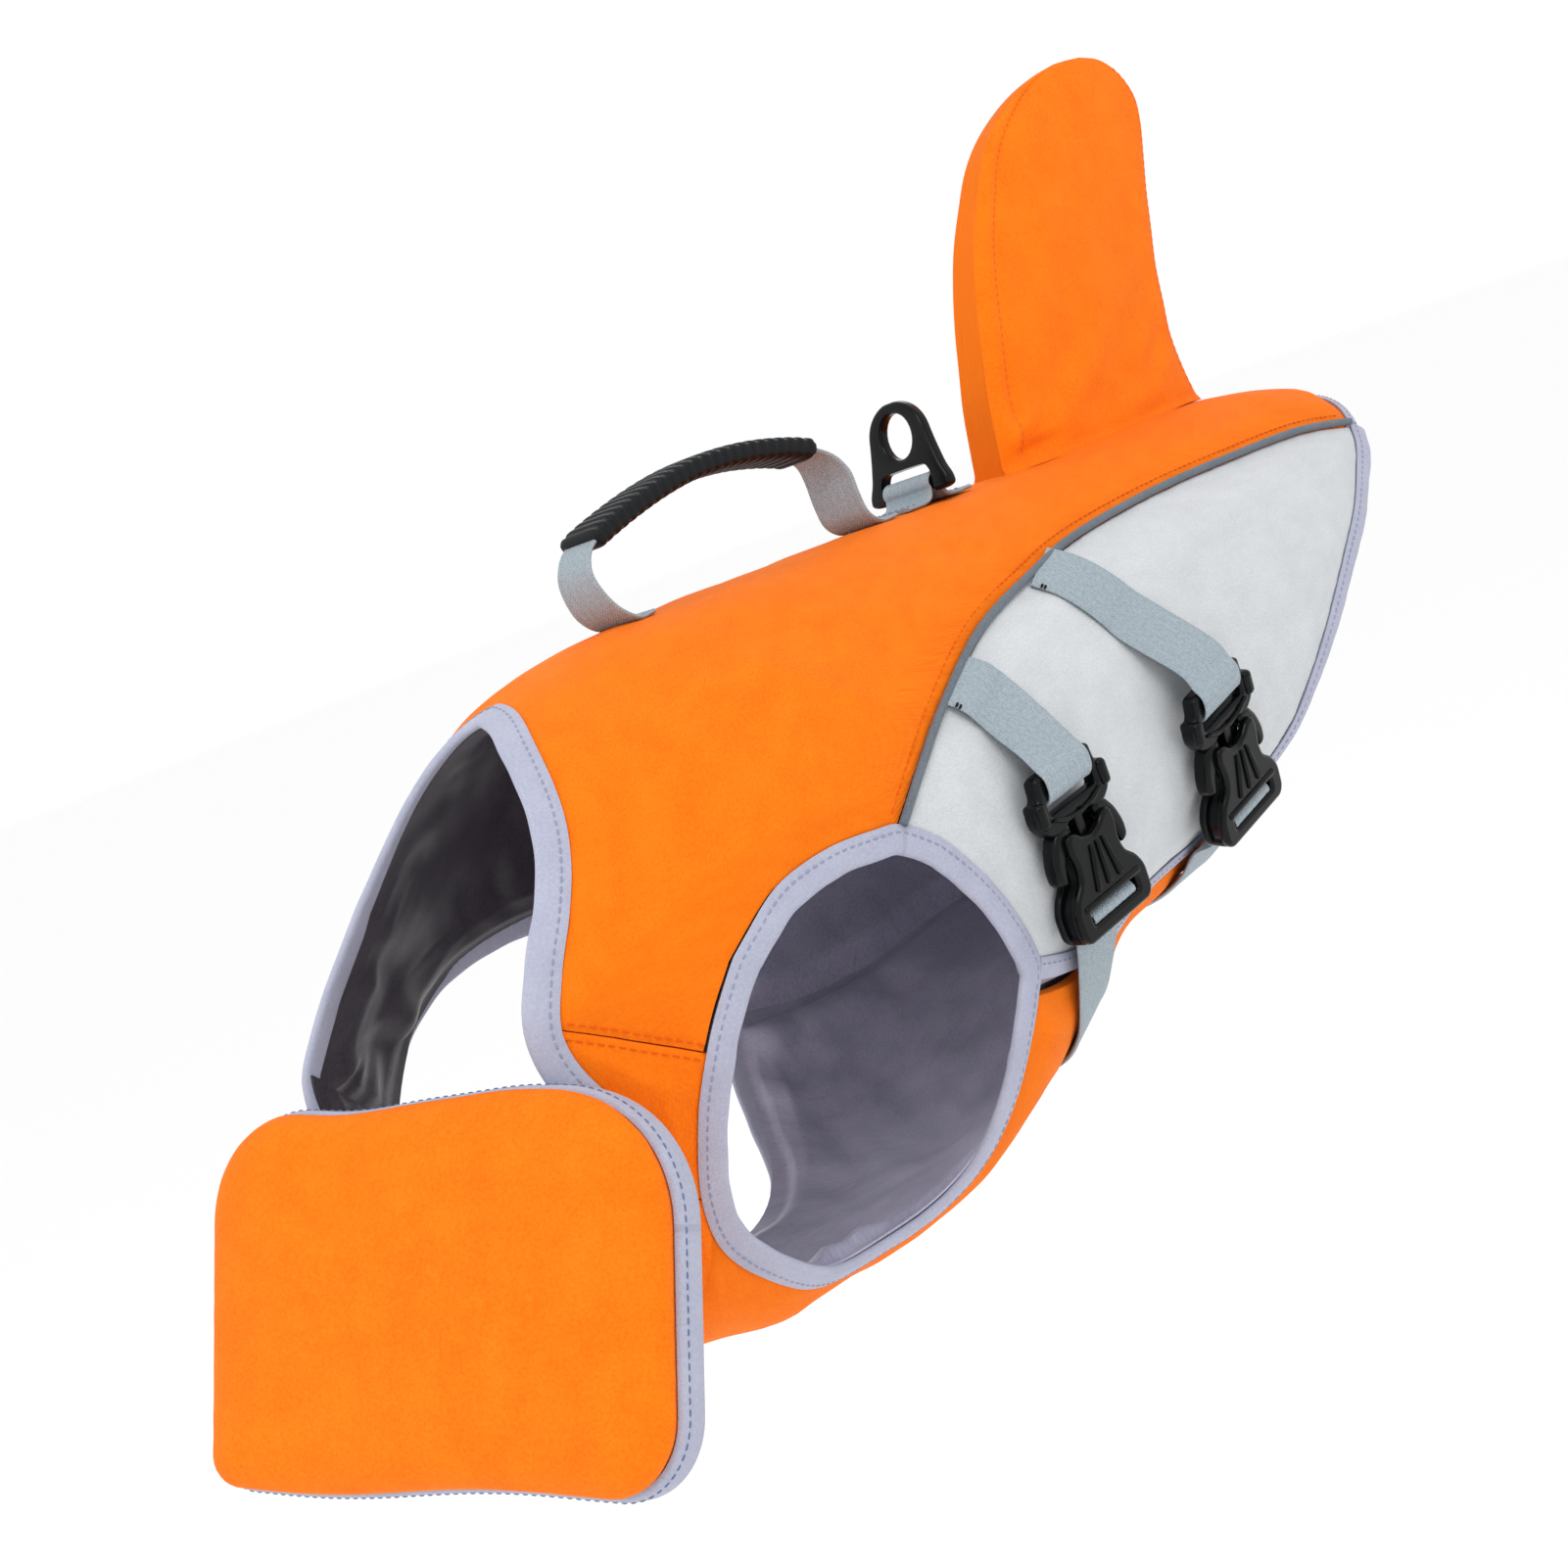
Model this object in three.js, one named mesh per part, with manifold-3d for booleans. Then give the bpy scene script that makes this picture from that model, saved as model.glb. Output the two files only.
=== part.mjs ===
// A dog life jacket with a foam back, pale side panels, a chest float and a dorsal fin.
// It keeps the hollow form of the body that wears it, with the neck, both leg holes and the rear open.
// Millimetres, +Z up, the tail towards +X and the wearer's left side towards -Y.
// The origin is on the lining at the middle of the back, where the wearer carries the jacket.
import * as THREE from "three";
import { mergeVertices } from "three/addons/utils/BufferGeometryUtils.js";
import Module from "manifold-3d";

const wasm = await Module();
wasm.setup();

// Driving sizes of the cloth and of the trims.
const FOAM = 6; // a padded panel, with its outer cloth
const LINING_TOP = 6.4; // depth of the lining's upper face below the outer face
const LINING_BASE = 8; // depth of its lower face, where the wearer is
const SEAM_GAP = 0.3; // least space left between pieces that are sewn together
const PINCH = 2.2; // how far a padded panel sinks towards a seam
const PINCH_REACH = 16; // distance from the seam over which it sinks
const TAPE_WIDTH = 10; // grey tape that binds the neck, the leg holes and the float
const HEM_TAPE_WIDTH = 7; // the same tape, folded narrower, at the tail, the hems and the belly
const TAIL_TAPE_WIDTH = 4; // at the tail it is turned under
const TAPE_PROUD = 0.8; // how far the tape stands out over the panel that it binds
const PIPING_RADIUS = 1.5;
const WEBBING_WIDTH = 25;
const WEBBING_THICK = 1.6;
const WEBBING_LIFT = 0.7; // from the body's skin to the underside of the webbing that lies on it

const GREY_CLOTH = { color: 0xd3d6d8, roughness: 0.85, metalness: 0 };
const ORANGE_CLOTH = { color: 0xff7a14, roughness: 0.8, metalness: 0 };
const LINING_CLOTH = { color: 0x4a4652, roughness: 0.5, metalness: 0 };
const TAPE_CLOTH = { color: 0xa9aec2, roughness: 0.8, metalness: 0 };
const PIPING_CLOTH = { color: 0x56616b, roughness: 0.7, metalness: 0 };
const WEBBING_CLOTH = { color: 0xa8b6bc, roughness: 0.7, metalness: 0 };
const BLACK_PLASTIC = { color: 0x1c1e20, roughness: 0.4, metalness: 0 };
const BLACK_RUBBER = { color: 0x2b2f31, roughness: 0.7, metalness: 0 };

const LEFT = { name: "left", sign: 1 };
const RIGHT = { name: "right", sign: -1 };
const SIDES = [LEFT, RIGHT];

const group = new THREE.Group();
const radians = THREE.MathUtils.degToRad;
const mix = THREE.MathUtils.lerp;

// The body that the cloth is shaped on: upright sections across it, from the neck to the tail.
const BODY_SECTIONS = [
  { station: -320, spine: -44, belly: -128, halfWidth: 38, widest: -72, crown: 1.5, skew: 0.45 },
  { station: -290, spine: -30, belly: -156, halfWidth: 45, widest: -88, crown: 1.5, skew: 0.45 },
  { station: -275, spine: -23, belly: -180, halfWidth: 53, widest: -94, crown: 1.5, skew: 0.45 },
  { station: -258, spine: -15, belly: -202, halfWidth: 64, widest: -96, crown: 1.5, skew: 0.42 },
  { station: -240, spine: -10, belly: -212, halfWidth: 75, widest: -96, crown: 1.55, skew: 0.38 },
  { station: -205, spine: 0, belly: -222, halfWidth: 87, widest: -95, crown: 1.75, skew: 0.28 },
  { station: -165, spine: 7, belly: -224, halfWidth: 91, widest: -93, crown: 2, skew: 0.14 },
  { station: -120, spine: 8, belly: -222, halfWidth: 92, widest: -90, crown: 2.1, skew: 0.04 },
  { station: -76, spine: 8, belly: -206, halfWidth: 90, widest: -88, crown: 2.15, skew: 0 },
  { station: -42, spine: 8, belly: -186, halfWidth: 88, widest: -86, crown: 2.15, skew: 0 },
  { station: -10, spine: 8, belly: -167, halfWidth: 86, widest: -84, crown: 2.15, skew: 0 },
  { station: 50, spine: 8, belly: -156, halfWidth: 81, widest: -78, crown: 2.15, skew: 0 },
  { station: 110, spine: 8, belly: -149, halfWidth: 75, widest: -70, crown: 2.1, skew: 0 },
  { station: 165, spine: 8, belly: -139, halfWidth: 68, widest: -62, crown: 2.1, skew: 0 },
  { station: 185, spine: 6, belly: -135, halfWidth: 64, widest: -59, crown: 2.1, skew: 0 },
  { station: 205, spine: 2, belly: -130, halfWidth: 60, widest: -56, crown: 2.1, skew: 0 },
  { station: 230, spine: -5, belly: -124, halfWidth: 54, widest: -54, crown: 2.1, skew: 0 },
  { station: 260, spine: -16, belly: -118, halfWidth: 46, widest: -54, crown: 2.1, skew: 0 },
];
const LOWER_ROUNDNESS = 2.2; // exponent of the sections below their widest height

// A smooth curve through one column of a table, read at a value of another column.
function read(table, along, column, value) {
  const last = table.length - 1;
  const x = THREE.MathUtils.clamp(value, table[0][along], table[last][along]);
  let i = 0;
  while (i < last - 1 && table[i + 1][along] < x) i++;
  const slope = (k) => {
    const a = table[Math.max(k - 1, 0)];
    const b = table[Math.min(k + 1, last)];
    return (b[column] - a[column]) / (b[along] - a[along]);
  };
  const [p, q] = [table[i], table[i + 1]];
  const span = q[along] - p[along];
  const t = (x - p[along]) / span;
  const rise = t * t * (3 - 2 * t);
  const leave = t * (1 - t) * (1 - t) * span * slope(i);
  const arrive = t * t * (t - 1) * span * slope(i + 1);
  return mix(p[column], q[column], rise) + leave + arrive;
}

// A point of the body's skin: angle 0 is the spine, 90 the left flank and 180 the belly.
// The neck turns a little to the wearer's left, so the skew carries the right shoulder forwards.
function skin(station, angle) {
  const at = (column) => read(BODY_SECTIONS, "station", column, station);
  const across = Math.sin(radians(angle));
  const up = Math.cos(radians(angle));
  const power = up > 0 ? at("crown") : LOWER_ROUNDNESS;
  const reach = (Math.abs(across) ** power + Math.abs(up) ** power) ** (-1 / power);
  const height = up > 0 ? at("spine") - at("widest") : at("widest") - at("belly");
  const y = -at("halfWidth") * reach * across;
  const x = station - (at("skew") * (1 - up) * y) / 2;
  return new THREE.Vector3(x, y, at("widest") + height * reach * up);
}

function skinNormal(station, angle) {
  const along = skin(station + 1, angle).sub(skin(station - 1, angle));
  const round = skin(station, angle + 0.5).sub(skin(station, angle - 0.5));
  return round.cross(along).normalize();
}

function lifted(station, angle, lift) {
  return skin(station, angle).addScaledVector(skinNormal(station, angle), lift);
}

// Seams as curves on the body. A place is a Vector2 of station and angle.
function seamCurve(rows, closed = false) {
  const points = rows.map((row) => new THREE.Vector3(row.station, row.angle, 0));
  const curve = new THREE.CatmullRomCurve3(points, closed, "catmullrom", 0.5);
  return (t) => {
    const p = curve.getPoint(closed ? THREE.MathUtils.euclideanModulo(t, 1) : THREE.MathUtils.clamp(t, 0, 1));
    return new THREE.Vector2(p.x, p.y);
  };
}
const mirrored = (place) => new THREE.Vector2(place.x, -place.y);
const onSide = (place, side) => (side.sign > 0 ? place : mirrored(place));
const stretch = (curve, from, to) => (t) => curve(mix(from, to, t));

// The neck's edge, from the spine down to the middle of the chest.
const NECK_EDGE = [
  { angle: 0, station: -203 },
  { angle: 10, station: -208 },
  { angle: 22, station: -217 },
  { angle: 45, station: -233 },
  { angle: 65, station: -252 },
  { angle: 77, station: -264 },
  { angle: 90, station: -273 },
  { angle: 100, station: -273 },
  { angle: 112, station: -265 },
  { angle: 130, station: -256 },
  { angle: 180, station: -252 },
];
const STRAP_SEAM_NECK = 91; // where the shoulder strap's cross seam meets the neck edge
const CHEST_SEAM_NECK = 126; // where the strap meets the chest panel there
function neckPlace(angle) {
  const folded = angle > 180 ? 360 - angle : angle;
  return new THREE.Vector2(read(NECK_EDGE, "angle", "station", folded), angle);
}

// The seam round a leg hole, from the end of the piping forwards and round.
const LEG_HOLE = [
  { mark: "piping", station: -139, angle: 83.5 },
  { station: -150, angle: 82 },
  { station: -172, angle: 80.5 },
  { station: -196, angle: 81.5 },
  { station: -213, angle: 86 },
  { station: -229, angle: 93 },
  { mark: "strap", station: -242, angle: 102 },
  { station: -250, angle: 113 },
  { mark: "chest", station: -252, angle: 127 },
  { station: -244, angle: 139 },
  { station: -222, angle: 149 },
  { station: -192, angle: 158 },
  { station: -165, angle: 160 },
  { station: -138, angle: 157 },
  { station: -118, angle: 149 },
  { station: -108, angle: 138 },
  { station: -101, angle: 128 },
  { mark: "belly", station: -95, angle: 120.5 },
  { mark: "hem", station: -92, angle: 115 },
  { station: -102, angle: 104 },
  { station: -113, angle: 96 },
  { station: -126, angle: 89 },
];
const legHole = seamCurve(LEG_HOLE, true);
const legMark = (mark) => LEG_HOLE.findIndex((row) => row.mark === mark) / LEG_HOLE.length;

// The piped seam between the orange back and the pale side, from the tail to the leg hole.
const PIPED_SEAM = [
  { station: 205, angle: 53 },
  { station: 148, angle: 47.5 },
  { station: 84, angle: 44.5 },
  { station: 18, angle: 46 },
  { station: -24, angle: 51 },
  { station: -60, angle: 57 },
  { station: -95, angle: 67 },
  { station: -120, angle: 76 },
  { station: -139, angle: 83.5 },
];
const pipedSeam = seamCurve(PIPED_SEAM);

// The tail's edge, from the spine to the piping.
const TAIL_EDGE = [
  { station: 227, angle: 0 },
  { station: 224, angle: 20 },
  { station: 216, angle: 38 },
  { station: 205, angle: 53 },
];
const tailEdge = seamCurve(TAIL_EDGE);

// The side panel's open edge, from the tail down to the belly and forwards to the leg hole.
const HEM_EDGE = [
  { station: 197, angle: 62 },
  { station: 189, angle: 68 },
  { station: 166, angle: 82 },
  { station: 135, angle: 97 },
  { station: 107, angle: 112 },
  { station: 83, angle: 126 },
  { station: 44, angle: 137 },
  { station: -10, angle: 135 },
  { station: -55, angle: 124 },
  { station: -92, angle: 115 },
];
const hemEdge = seamCurve(HEM_EDGE);
const tipEdge = (t) => pipedSeam(0).lerp(hemEdge(0), t);

// Turns a closed mesh's faces outwards.
function outward(positions, faces) {
  let volume = 0;
  const [a, b, c] = [new THREE.Vector3(), new THREE.Vector3(), new THREE.Vector3()];
  for (let i = 0; i < faces.length; i += 3) {
    a.copy(positions[faces[i]]);
    b.copy(positions[faces[i + 1]]);
    c.copy(positions[faces[i + 2]]);
    volume += a.dot(b.cross(c));
  }
  if (volume < 0) faces.reverse();
  const geometry = new THREE.BufferGeometry().setFromPoints(positions);
  geometry.setIndex(faces);
  return geometry;
}

// A closed wall: at(i, j, depth) gives its points, depth 0 outside and 1 inside.
function wall(rows, columns, at) {
  const points = [];
  const faces = [];
  for (const depth of [0, 1]) {
    for (let i = 0; i <= rows; i++) {
      for (let j = 0; j <= columns; j++) points.push(at(i, j, depth));
    }
  }
  const index = (i, j, depth) => (depth * (rows + 1) + i) * (columns + 1) + j;
  const quad = (a, b, c, d) => faces.push(a, b, c, a, c, d);
  for (let i = 0; i < rows; i++) {
    for (let j = 0; j < columns; j++) {
      quad(index(i, j, 0), index(i + 1, j, 0), index(i + 1, j + 1, 0), index(i, j + 1, 0));
      quad(index(i, j, 1), index(i, j + 1, 1), index(i + 1, j + 1, 1), index(i + 1, j, 1));
    }
    quad(index(i, 0, 0), index(i, 0, 1), index(i + 1, 0, 1), index(i + 1, 0, 0));
    quad(index(i, columns, 0), index(i + 1, columns, 0), index(i + 1, columns, 1), index(i, columns, 1));
  }
  for (let j = 0; j < columns; j++) {
    quad(index(0, j, 0), index(0, j + 1, 0), index(0, j + 1, 1), index(0, j, 1));
    quad(index(rows, j, 0), index(rows, j, 1), index(rows, j + 1, 1), index(rows, j + 1, 0));
  }
  return outward(points, faces);
}

// A rod with rings of equal size: ring(i) lists the points of section i.
function rod(count, ring, closed = false) {
  const points = [];
  const faces = [];
  const sides = ring(0).length;
  for (let i = 0; i < count; i++) points.push(...ring(i));
  const links = closed ? count : count - 1;
  for (let i = 0; i < links; i++) {
    for (let k = 0; k < sides; k++) {
      const [a, b] = [i * sides + k, i * sides + ((k + 1) % sides)];
      const [c, d] = [((i + 1) % count) * sides + ((k + 1) % sides), ((i + 1) % count) * sides + k];
      faces.push(a, b, c, a, c, d);
    }
  }
  if (!closed) {
    const base = (count - 1) * sides;
    for (let k = 1; k < sides - 1; k++) {
      faces.push(0, k + 1, k);
      faces.push(base, base + k, base + k + 1);
    }
  }
  return outward(points, faces);
}

function add(name, geometry, finish) {
  const mesh = new THREE.Mesh(geometry, new THREE.MeshStandardMaterial(finish));
  mesh.name = name;
  group.add(mesh);
  return mesh;
}

// A patch of cloth between four curves. Each margin is how far the cloth stops short of its curve.
function patch(start, end, low, high) {
  return (u, v) => {
    const across = low(u).multiplyScalar(1 - v).add(high(u).multiplyScalar(v));
    const along = start(v).multiplyScalar(1 - u).add(end(v).multiplyScalar(u));
    const near = start(0).multiplyScalar(1 - v).add(start(1).multiplyScalar(v));
    const far = end(0).multiplyScalar(1 - v).add(end(1).multiplyScalar(v));
    return across.add(along).sub(near.multiplyScalar(1 - u)).sub(far.multiplyScalar(u));
  };
}

// How an edge point moves so that the cloth stops its margin short of the seam.
function setBack(skinAt, normal, i, j, stepI, stepJ, marginI, marginJ) {
  const along = (di, dj) => skinAt(i + di, j + dj).sub(skinAt(i, j)).normalize();
  if (stepI && stepJ) {
    const [first, second] = [along(stepI, 0), along(0, stepJ)];
    const spread = first.clone().cross(second).length();
    return first.multiplyScalar(marginI / spread).addScaledVector(second, marginJ / spread);
  }
  const [di, dj] = stepI ? [0, 1] : [1, 0];
  const edge = along(di, dj).sub(along(-di, -dj));
  const across = normal.clone().cross(edge).normalize();
  const inside = along(stepI, stepJ);
  return across.multiplyScalar(Math.sign(across.dot(inside)) * (stepI ? marginI : marginJ));
}

// A panel cut from a patch, sunk towards its seams, between two depths below the skin.
// Each margin is how far the cloth stops short of the seam on that side.
function panel(place, rows, columns, margins, top, base, pinch = PINCH) {
  const skinAt = (i, j) => {
    const p = place(i / rows, j / columns);
    return skin(p.x, p.y);
  };
  const rim = [];
  for (let i = 0; i <= rows; i += 0.25) rim.push(skinAt(i, 0), skinAt(i, columns));
  for (let j = 0; j <= columns; j += 0.25) rim.push(skinAt(0, j), skinAt(rows, j));
  const stepAt = (index, last) => (index === 0 ? 1 : index === last ? -1 : 0);
  return wall(rows, columns, (i, j, depth) => {
    const p = place(i / rows, j / columns);
    const normal = skinNormal(p.x, p.y);
    const point = skin(p.x, p.y);
    const reach = Math.min(...rim.map((q) => q.distanceTo(point)));
    const sink = pinch * (1 - THREE.MathUtils.smoothstep(reach, 0, PINCH_REACH));
    const [stepI, stepJ] = [stepAt(i, rows), stepAt(j, columns)];
    if (stepI || stepJ) {
      const marginI = stepI > 0 ? margins.start : margins.end;
      const marginJ = stepJ > 0 ? margins.low : margins.high;
      point.add(setBack(skinAt, normal, i, j, stepI, stepJ, marginI, marginJ));
    }
    return point.addScaledVector(normal, depth ? -base : -top - sink);
  });
}
function lining(place, rows, columns, margins) {
  return panel(place, rows, columns, margins, LINING_TOP, LINING_BASE, 0);
}

const BOUND = SEAM_GAP; // margin of a panel whose edge is bound or meets another panel
const TAPE_START = SEAM_GAP / 2; // from the seam to the tape
const PIPED = PIPING_RADIUS + 2 * SEAM_GAP; // margin of a panel beside the piping

// Cells along each seam, shared by every piece that meets there.
const PIPED_CELLS = 12;
const SHOULDER_CELLS = 6; // the leg hole's edge, from the piping to the strap's cross seam
const NECK_CELLS = 9; // the neck's edge, from the spine to the strap's cross seam
const CROSS_CELLS = 3; // the cross seam itself
const STRAP_CELLS = 3; // the strap end's edges, from its cross seam to the chest
const CHEST_CELLS = 8; // the leg hole's edge along the chest and belly
const SIDE_CELLS = 6; // the leg hole's edge along the side panel
const BELLY_HEM_CELLS = 6;
const HALF_ACROSS = NECK_CELLS + CROSS_CELLS;
const BACK_LENGTH = SHOULDER_CELLS + PIPED_CELLS;

// Back panel with both shoulders, in two like halves about the spine.
const crossSeam = (t) => neckPlace(STRAP_SEAM_NECK).lerp(legHole(legMark("strap")), t);
const SPINE_STEPS = [
  { cell: 0, station: -203 },
  { cell: SHOULDER_CELLS, station: -120 },
  { cell: BACK_LENGTH, station: 227 },
];
function backFront(t) {
  const cell = t * HALF_ACROSS;
  if (cell <= NECK_CELLS) return neckPlace((cell / NECK_CELLS) * STRAP_SEAM_NECK);
  return crossSeam((cell - NECK_CELLS) / CROSS_CELLS);
}
function backFlank(t) {
  const cell = t * BACK_LENGTH;
  if (cell <= SHOULDER_CELLS) return legHole((1 - cell / SHOULDER_CELLS) * legMark("strap"));
  return pipedSeam(1 - (cell - SHOULDER_CELLS) / PIPED_CELLS);
}
const spineLine = (t) => new THREE.Vector2(read(SPINE_STEPS, "cell", "station", t * BACK_LENGTH), 0);
const halfBack = patch(backFront, tailEdge, spineLine, backFlank);
const backPlace = (u, v) => onSide(halfBack(u, Math.abs(2 * v - 1)), v < 0.5 ? RIGHT : LEFT);
const backMargins = { start: BOUND, end: BOUND, low: PIPED, high: PIPED };
add("back_panel", panel(backPlace, BACK_LENGTH, 2 * HALF_ACROSS, backMargins, 0, FOAM), ORANGE_CLOTH);
add("back_lining", lining(backPlace, BACK_LENGTH, 2 * HALF_ACROSS, backMargins), LINING_CLOTH);

// The lower end of each shoulder strap, from its cross seam to the chest panel.
function strapPlace(side) {
  const rear = stretch(legHole, legMark("strap"), legMark("chest"));
  return (u, v) => {
    const front = neckPlace(mix(STRAP_SEAM_NECK, CHEST_SEAM_NECK, u));
    return onSide(front.lerp(rear(u), v), side);
  };
}
for (const side of SIDES) {
  const margins = { start: BOUND, end: BOUND, low: BOUND, high: BOUND };
  const shape = [strapPlace(side), STRAP_CELLS, CROSS_CELLS, margins];
  add(`strap_end_${side.name}`, panel(...shape, 0, FOAM), ORANGE_CLOTH);
  add(`strap_lining_${side.name}`, lining(...shape), LINING_CLOTH);
}

// Pale side panels, from the piping down to the hem.
function sidePlace(side) {
  const piping = (t) => pipedSeam(1 - t);
  const hem = (t) => hemEdge(1 - t);
  const leg = (t) => legHole(mix(1, legMark("hem"), t));
  const place = patch(leg, tipEdge, piping, hem);
  return (u, v) => onSide(place(u, v), side);
}
for (const side of SIDES) {
  const margins = { start: BOUND, end: BOUND, low: PIPED, high: BOUND };
  const shape = [sidePlace(side), PIPED_CELLS, SIDE_CELLS, margins];
  add(`side_panel_${side.name}`, panel(...shape, 0, FOAM), GREY_CLOTH);
  add(`side_lining_${side.name}`, lining(...shape), LINING_CLOTH);
}

// Belly panel: the chest between the leg holes, and the belly below the side panels' hems.
const BELLY_HEM = [
  { station: -95, angle: 120.5 },
  { station: -58, angle: 129.5 },
  { station: -12, angle: 141 },
  { station: 30, angle: 144 },
  { station: 72, angle: 138 },
];
const BELLY_REAR = 82; // station of the belly panel's rear edge at the middle
const BELLY_ROWS = CROSS_CELLS + CHEST_CELLS + BELLY_HEM_CELLS;
const BELLY_COLUMNS = 10;
const bellyHem = seamCurve(BELLY_HEM);
function bellyFlank(t) {
  const cell = t * BELLY_ROWS;
  const corner = legHole(legMark("chest"));
  if (cell <= CROSS_CELLS) return neckPlace(CHEST_SEAM_NECK).lerp(corner, cell / CROSS_CELLS);
  const chest = (cell - CROSS_CELLS) / CHEST_CELLS;
  if (chest <= 1) return legHole(mix(legMark("chest"), legMark("belly"), chest));
  return bellyHem((cell - CROSS_CELLS - CHEST_CELLS) / BELLY_HEM_CELLS);
}
const acrossBelly = (place) => new THREE.Vector2(place.x, 360 - place.y);
const bellyFront = (t) => neckPlace(mix(CHEST_SEAM_NECK, 360 - CHEST_SEAM_NECK, t));
function bellyRear(t) {
  const corner = bellyHem(1);
  const station = mix(corner.x, BELLY_REAR, Math.sin(t * Math.PI));
  return new THREE.Vector2(station, mix(corner.y, 360 - corner.y, t));
}
const bellyPlace = patch(bellyFront, bellyRear, bellyFlank, (t) => acrossBelly(bellyFlank(t)));
const bellyMargins = { start: BOUND, end: BOUND, low: BOUND, high: BOUND };
add("belly_panel", panel(bellyPlace, BELLY_ROWS, BELLY_COLUMNS, bellyMargins, 0, FOAM), ORANGE_CLOTH);
add("belly_lining", lining(bellyPlace, BELLY_ROWS, BELLY_COLUMNS, bellyMargins), LINING_CLOTH);

// Tape folded over an open edge. It runs along the panel's seam and stands out into the opening.
function tape(places, width, turn, closed = false) {
  const frames = frameList(places, closed);
  const top = TAPE_PROUD - PINCH;
  const base = -LINING_BASE - TAPE_PROUD / 2;
  const section = [
    [TAPE_START, top],
    [width * 0.72, top],
    [width, top - 1.6],
    [width, base + 1.4],
    [width * 0.72, base],
    [TAPE_START, base],
  ];
  return rod(frames.length, (i) => section.map(([w, h]) => inFrame(frames[i], w * turn, h)), closed);
}

// Frames along a row of places: the point, the direction along the seam, and the body's normal.
function frameList(places, closed = false) {
  const points = places.map((p) => skin(p.x, p.y));
  const last = places.length - 1;
  return places.map((p, i) => {
    const before = closed ? points[(i + last) % (last + 1)] : points[Math.max(i - 1, 0)];
    const after = closed ? points[(i + 1) % (last + 1)] : points[Math.min(i + 1, last)];
    const normal = skinNormal(p.x, p.y);
    const arriving = points[i].clone().sub(before).normalize();
    const along = after.clone().sub(points[i]).normalize().add(arriving);
    return { point: points[i], normal, across: normal.clone().cross(along).normalize() };
  });
}
function inFrame(frame, across, height) {
  return frame.point.clone().addScaledVector(frame.across, across).addScaledVector(frame.normal, height);
}
const cells = (count, place) => Array.from({ length: count + 1 }, (_, i) => place(i / count));

// The neck's tape, all round, with a joint of its segments at each panel's cells.
const neckHalf = [
  ...cells(NECK_CELLS, (t) => neckPlace(t * STRAP_SEAM_NECK)),
  ...cells(STRAP_CELLS, (t) => neckPlace(mix(STRAP_SEAM_NECK, CHEST_SEAM_NECK, t))).slice(1),
  ...cells(BELLY_COLUMNS / 2, (t) => neckPlace(mix(CHEST_SEAM_NECK, 180, t))).slice(1),
];
const neckRound = [...neckHalf.slice(0, -1), ...neckHalf.slice(1).reverse().map(acrossBelly)];
add("neck_binding", tape(neckRound, TAPE_WIDTH, -1, true), TAPE_CLOTH);

const legRound = [
  ...cells(SHOULDER_CELLS, stretch(legHole, 0, legMark("strap"))),
  ...cells(STRAP_CELLS, stretch(legHole, legMark("strap"), legMark("chest"))).slice(1),
  ...cells(CHEST_CELLS, stretch(legHole, legMark("chest"), legMark("belly"))).slice(1),
  ...cells(SIDE_CELLS, stretch(legHole, legMark("hem"), 1)).slice(0, -1),
];
for (const side of SIDES) {
  const round = legRound.map((p) => onSide(p, side));
  add(`leg_binding_${side.name}`, tape(round, TAPE_WIDTH, side.sign, true), TAPE_CLOTH);
  const tip = cells(SIDE_CELLS, stretch(tipEdge, 0.06, 1));
  const hem = cells(PIPED_CELLS, stretch(hemEdge, 0, 0.997)).slice(1);
  const hemOnSide = [...tip, ...hem].map((p) => onSide(p, side));
  add(`hem_binding_${side.name}`, tape(hemOnSide, HEM_TAPE_WIDTH, side.sign), TAPE_CLOTH);
}
const tailHalf = cells(HALF_ACROSS, (t) => tailEdge(Math.min(t, 0.975)));
const tailRound = [...tailHalf.slice(1).reverse().map(mirrored), ...tailHalf];
add("tail_binding", tape(tailRound, TAIL_TAPE_WIDTH, 1), TAPE_CLOTH);
add("belly_binding", tape(cells(BELLY_COLUMNS, bellyRear), HEM_TAPE_WIDTH, 1), TAPE_CLOTH);

// Piping: a cord in the seam between the back and each side.
for (const side of SIDES) {
  const route = cells(PIPED_CELLS, stretch(pipedSeam, 0.004, 0.996));
  const frames = frameList(route.map((p) => onSide(p, side)));
  const ring = (i) => {
    const corner = (k) => (k * Math.PI) / 3;
    const lift = PIPING_RADIUS - PINCH;
    const at = (k) => [PIPING_RADIUS * Math.cos(corner(k)), lift + PIPING_RADIUS * Math.sin(corner(k))];
    return [0, 1, 2, 3, 4, 5].map((k) => inFrame(frames[i], ...at(k)));
  };
  add(`piping_${side.name}`, rod(frames.length, ring), PIPING_CLOTH);
}

// A webbing strap along a row of points, each with the direction across the strap and its normal.
function strap(frames, width = WEBBING_WIDTH, thick = WEBBING_THICK) {
  const corners = [[-1, 0], [1, 0], [1, 1], [-1, 1]];
  return rod(frames.length, (i) => corners.map(([w, h]) => inFrame(frames[i], (w * width) / 2, h * thick)));
}
// Frames for a strap that lies on the body, lifted clear of the panels below.
function layFrames(places) {
  const frames = frameList(places);
  for (const frame of frames) frame.point.addScaledVector(frame.normal, WEBBING_LIFT);
  return frames;
}

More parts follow.
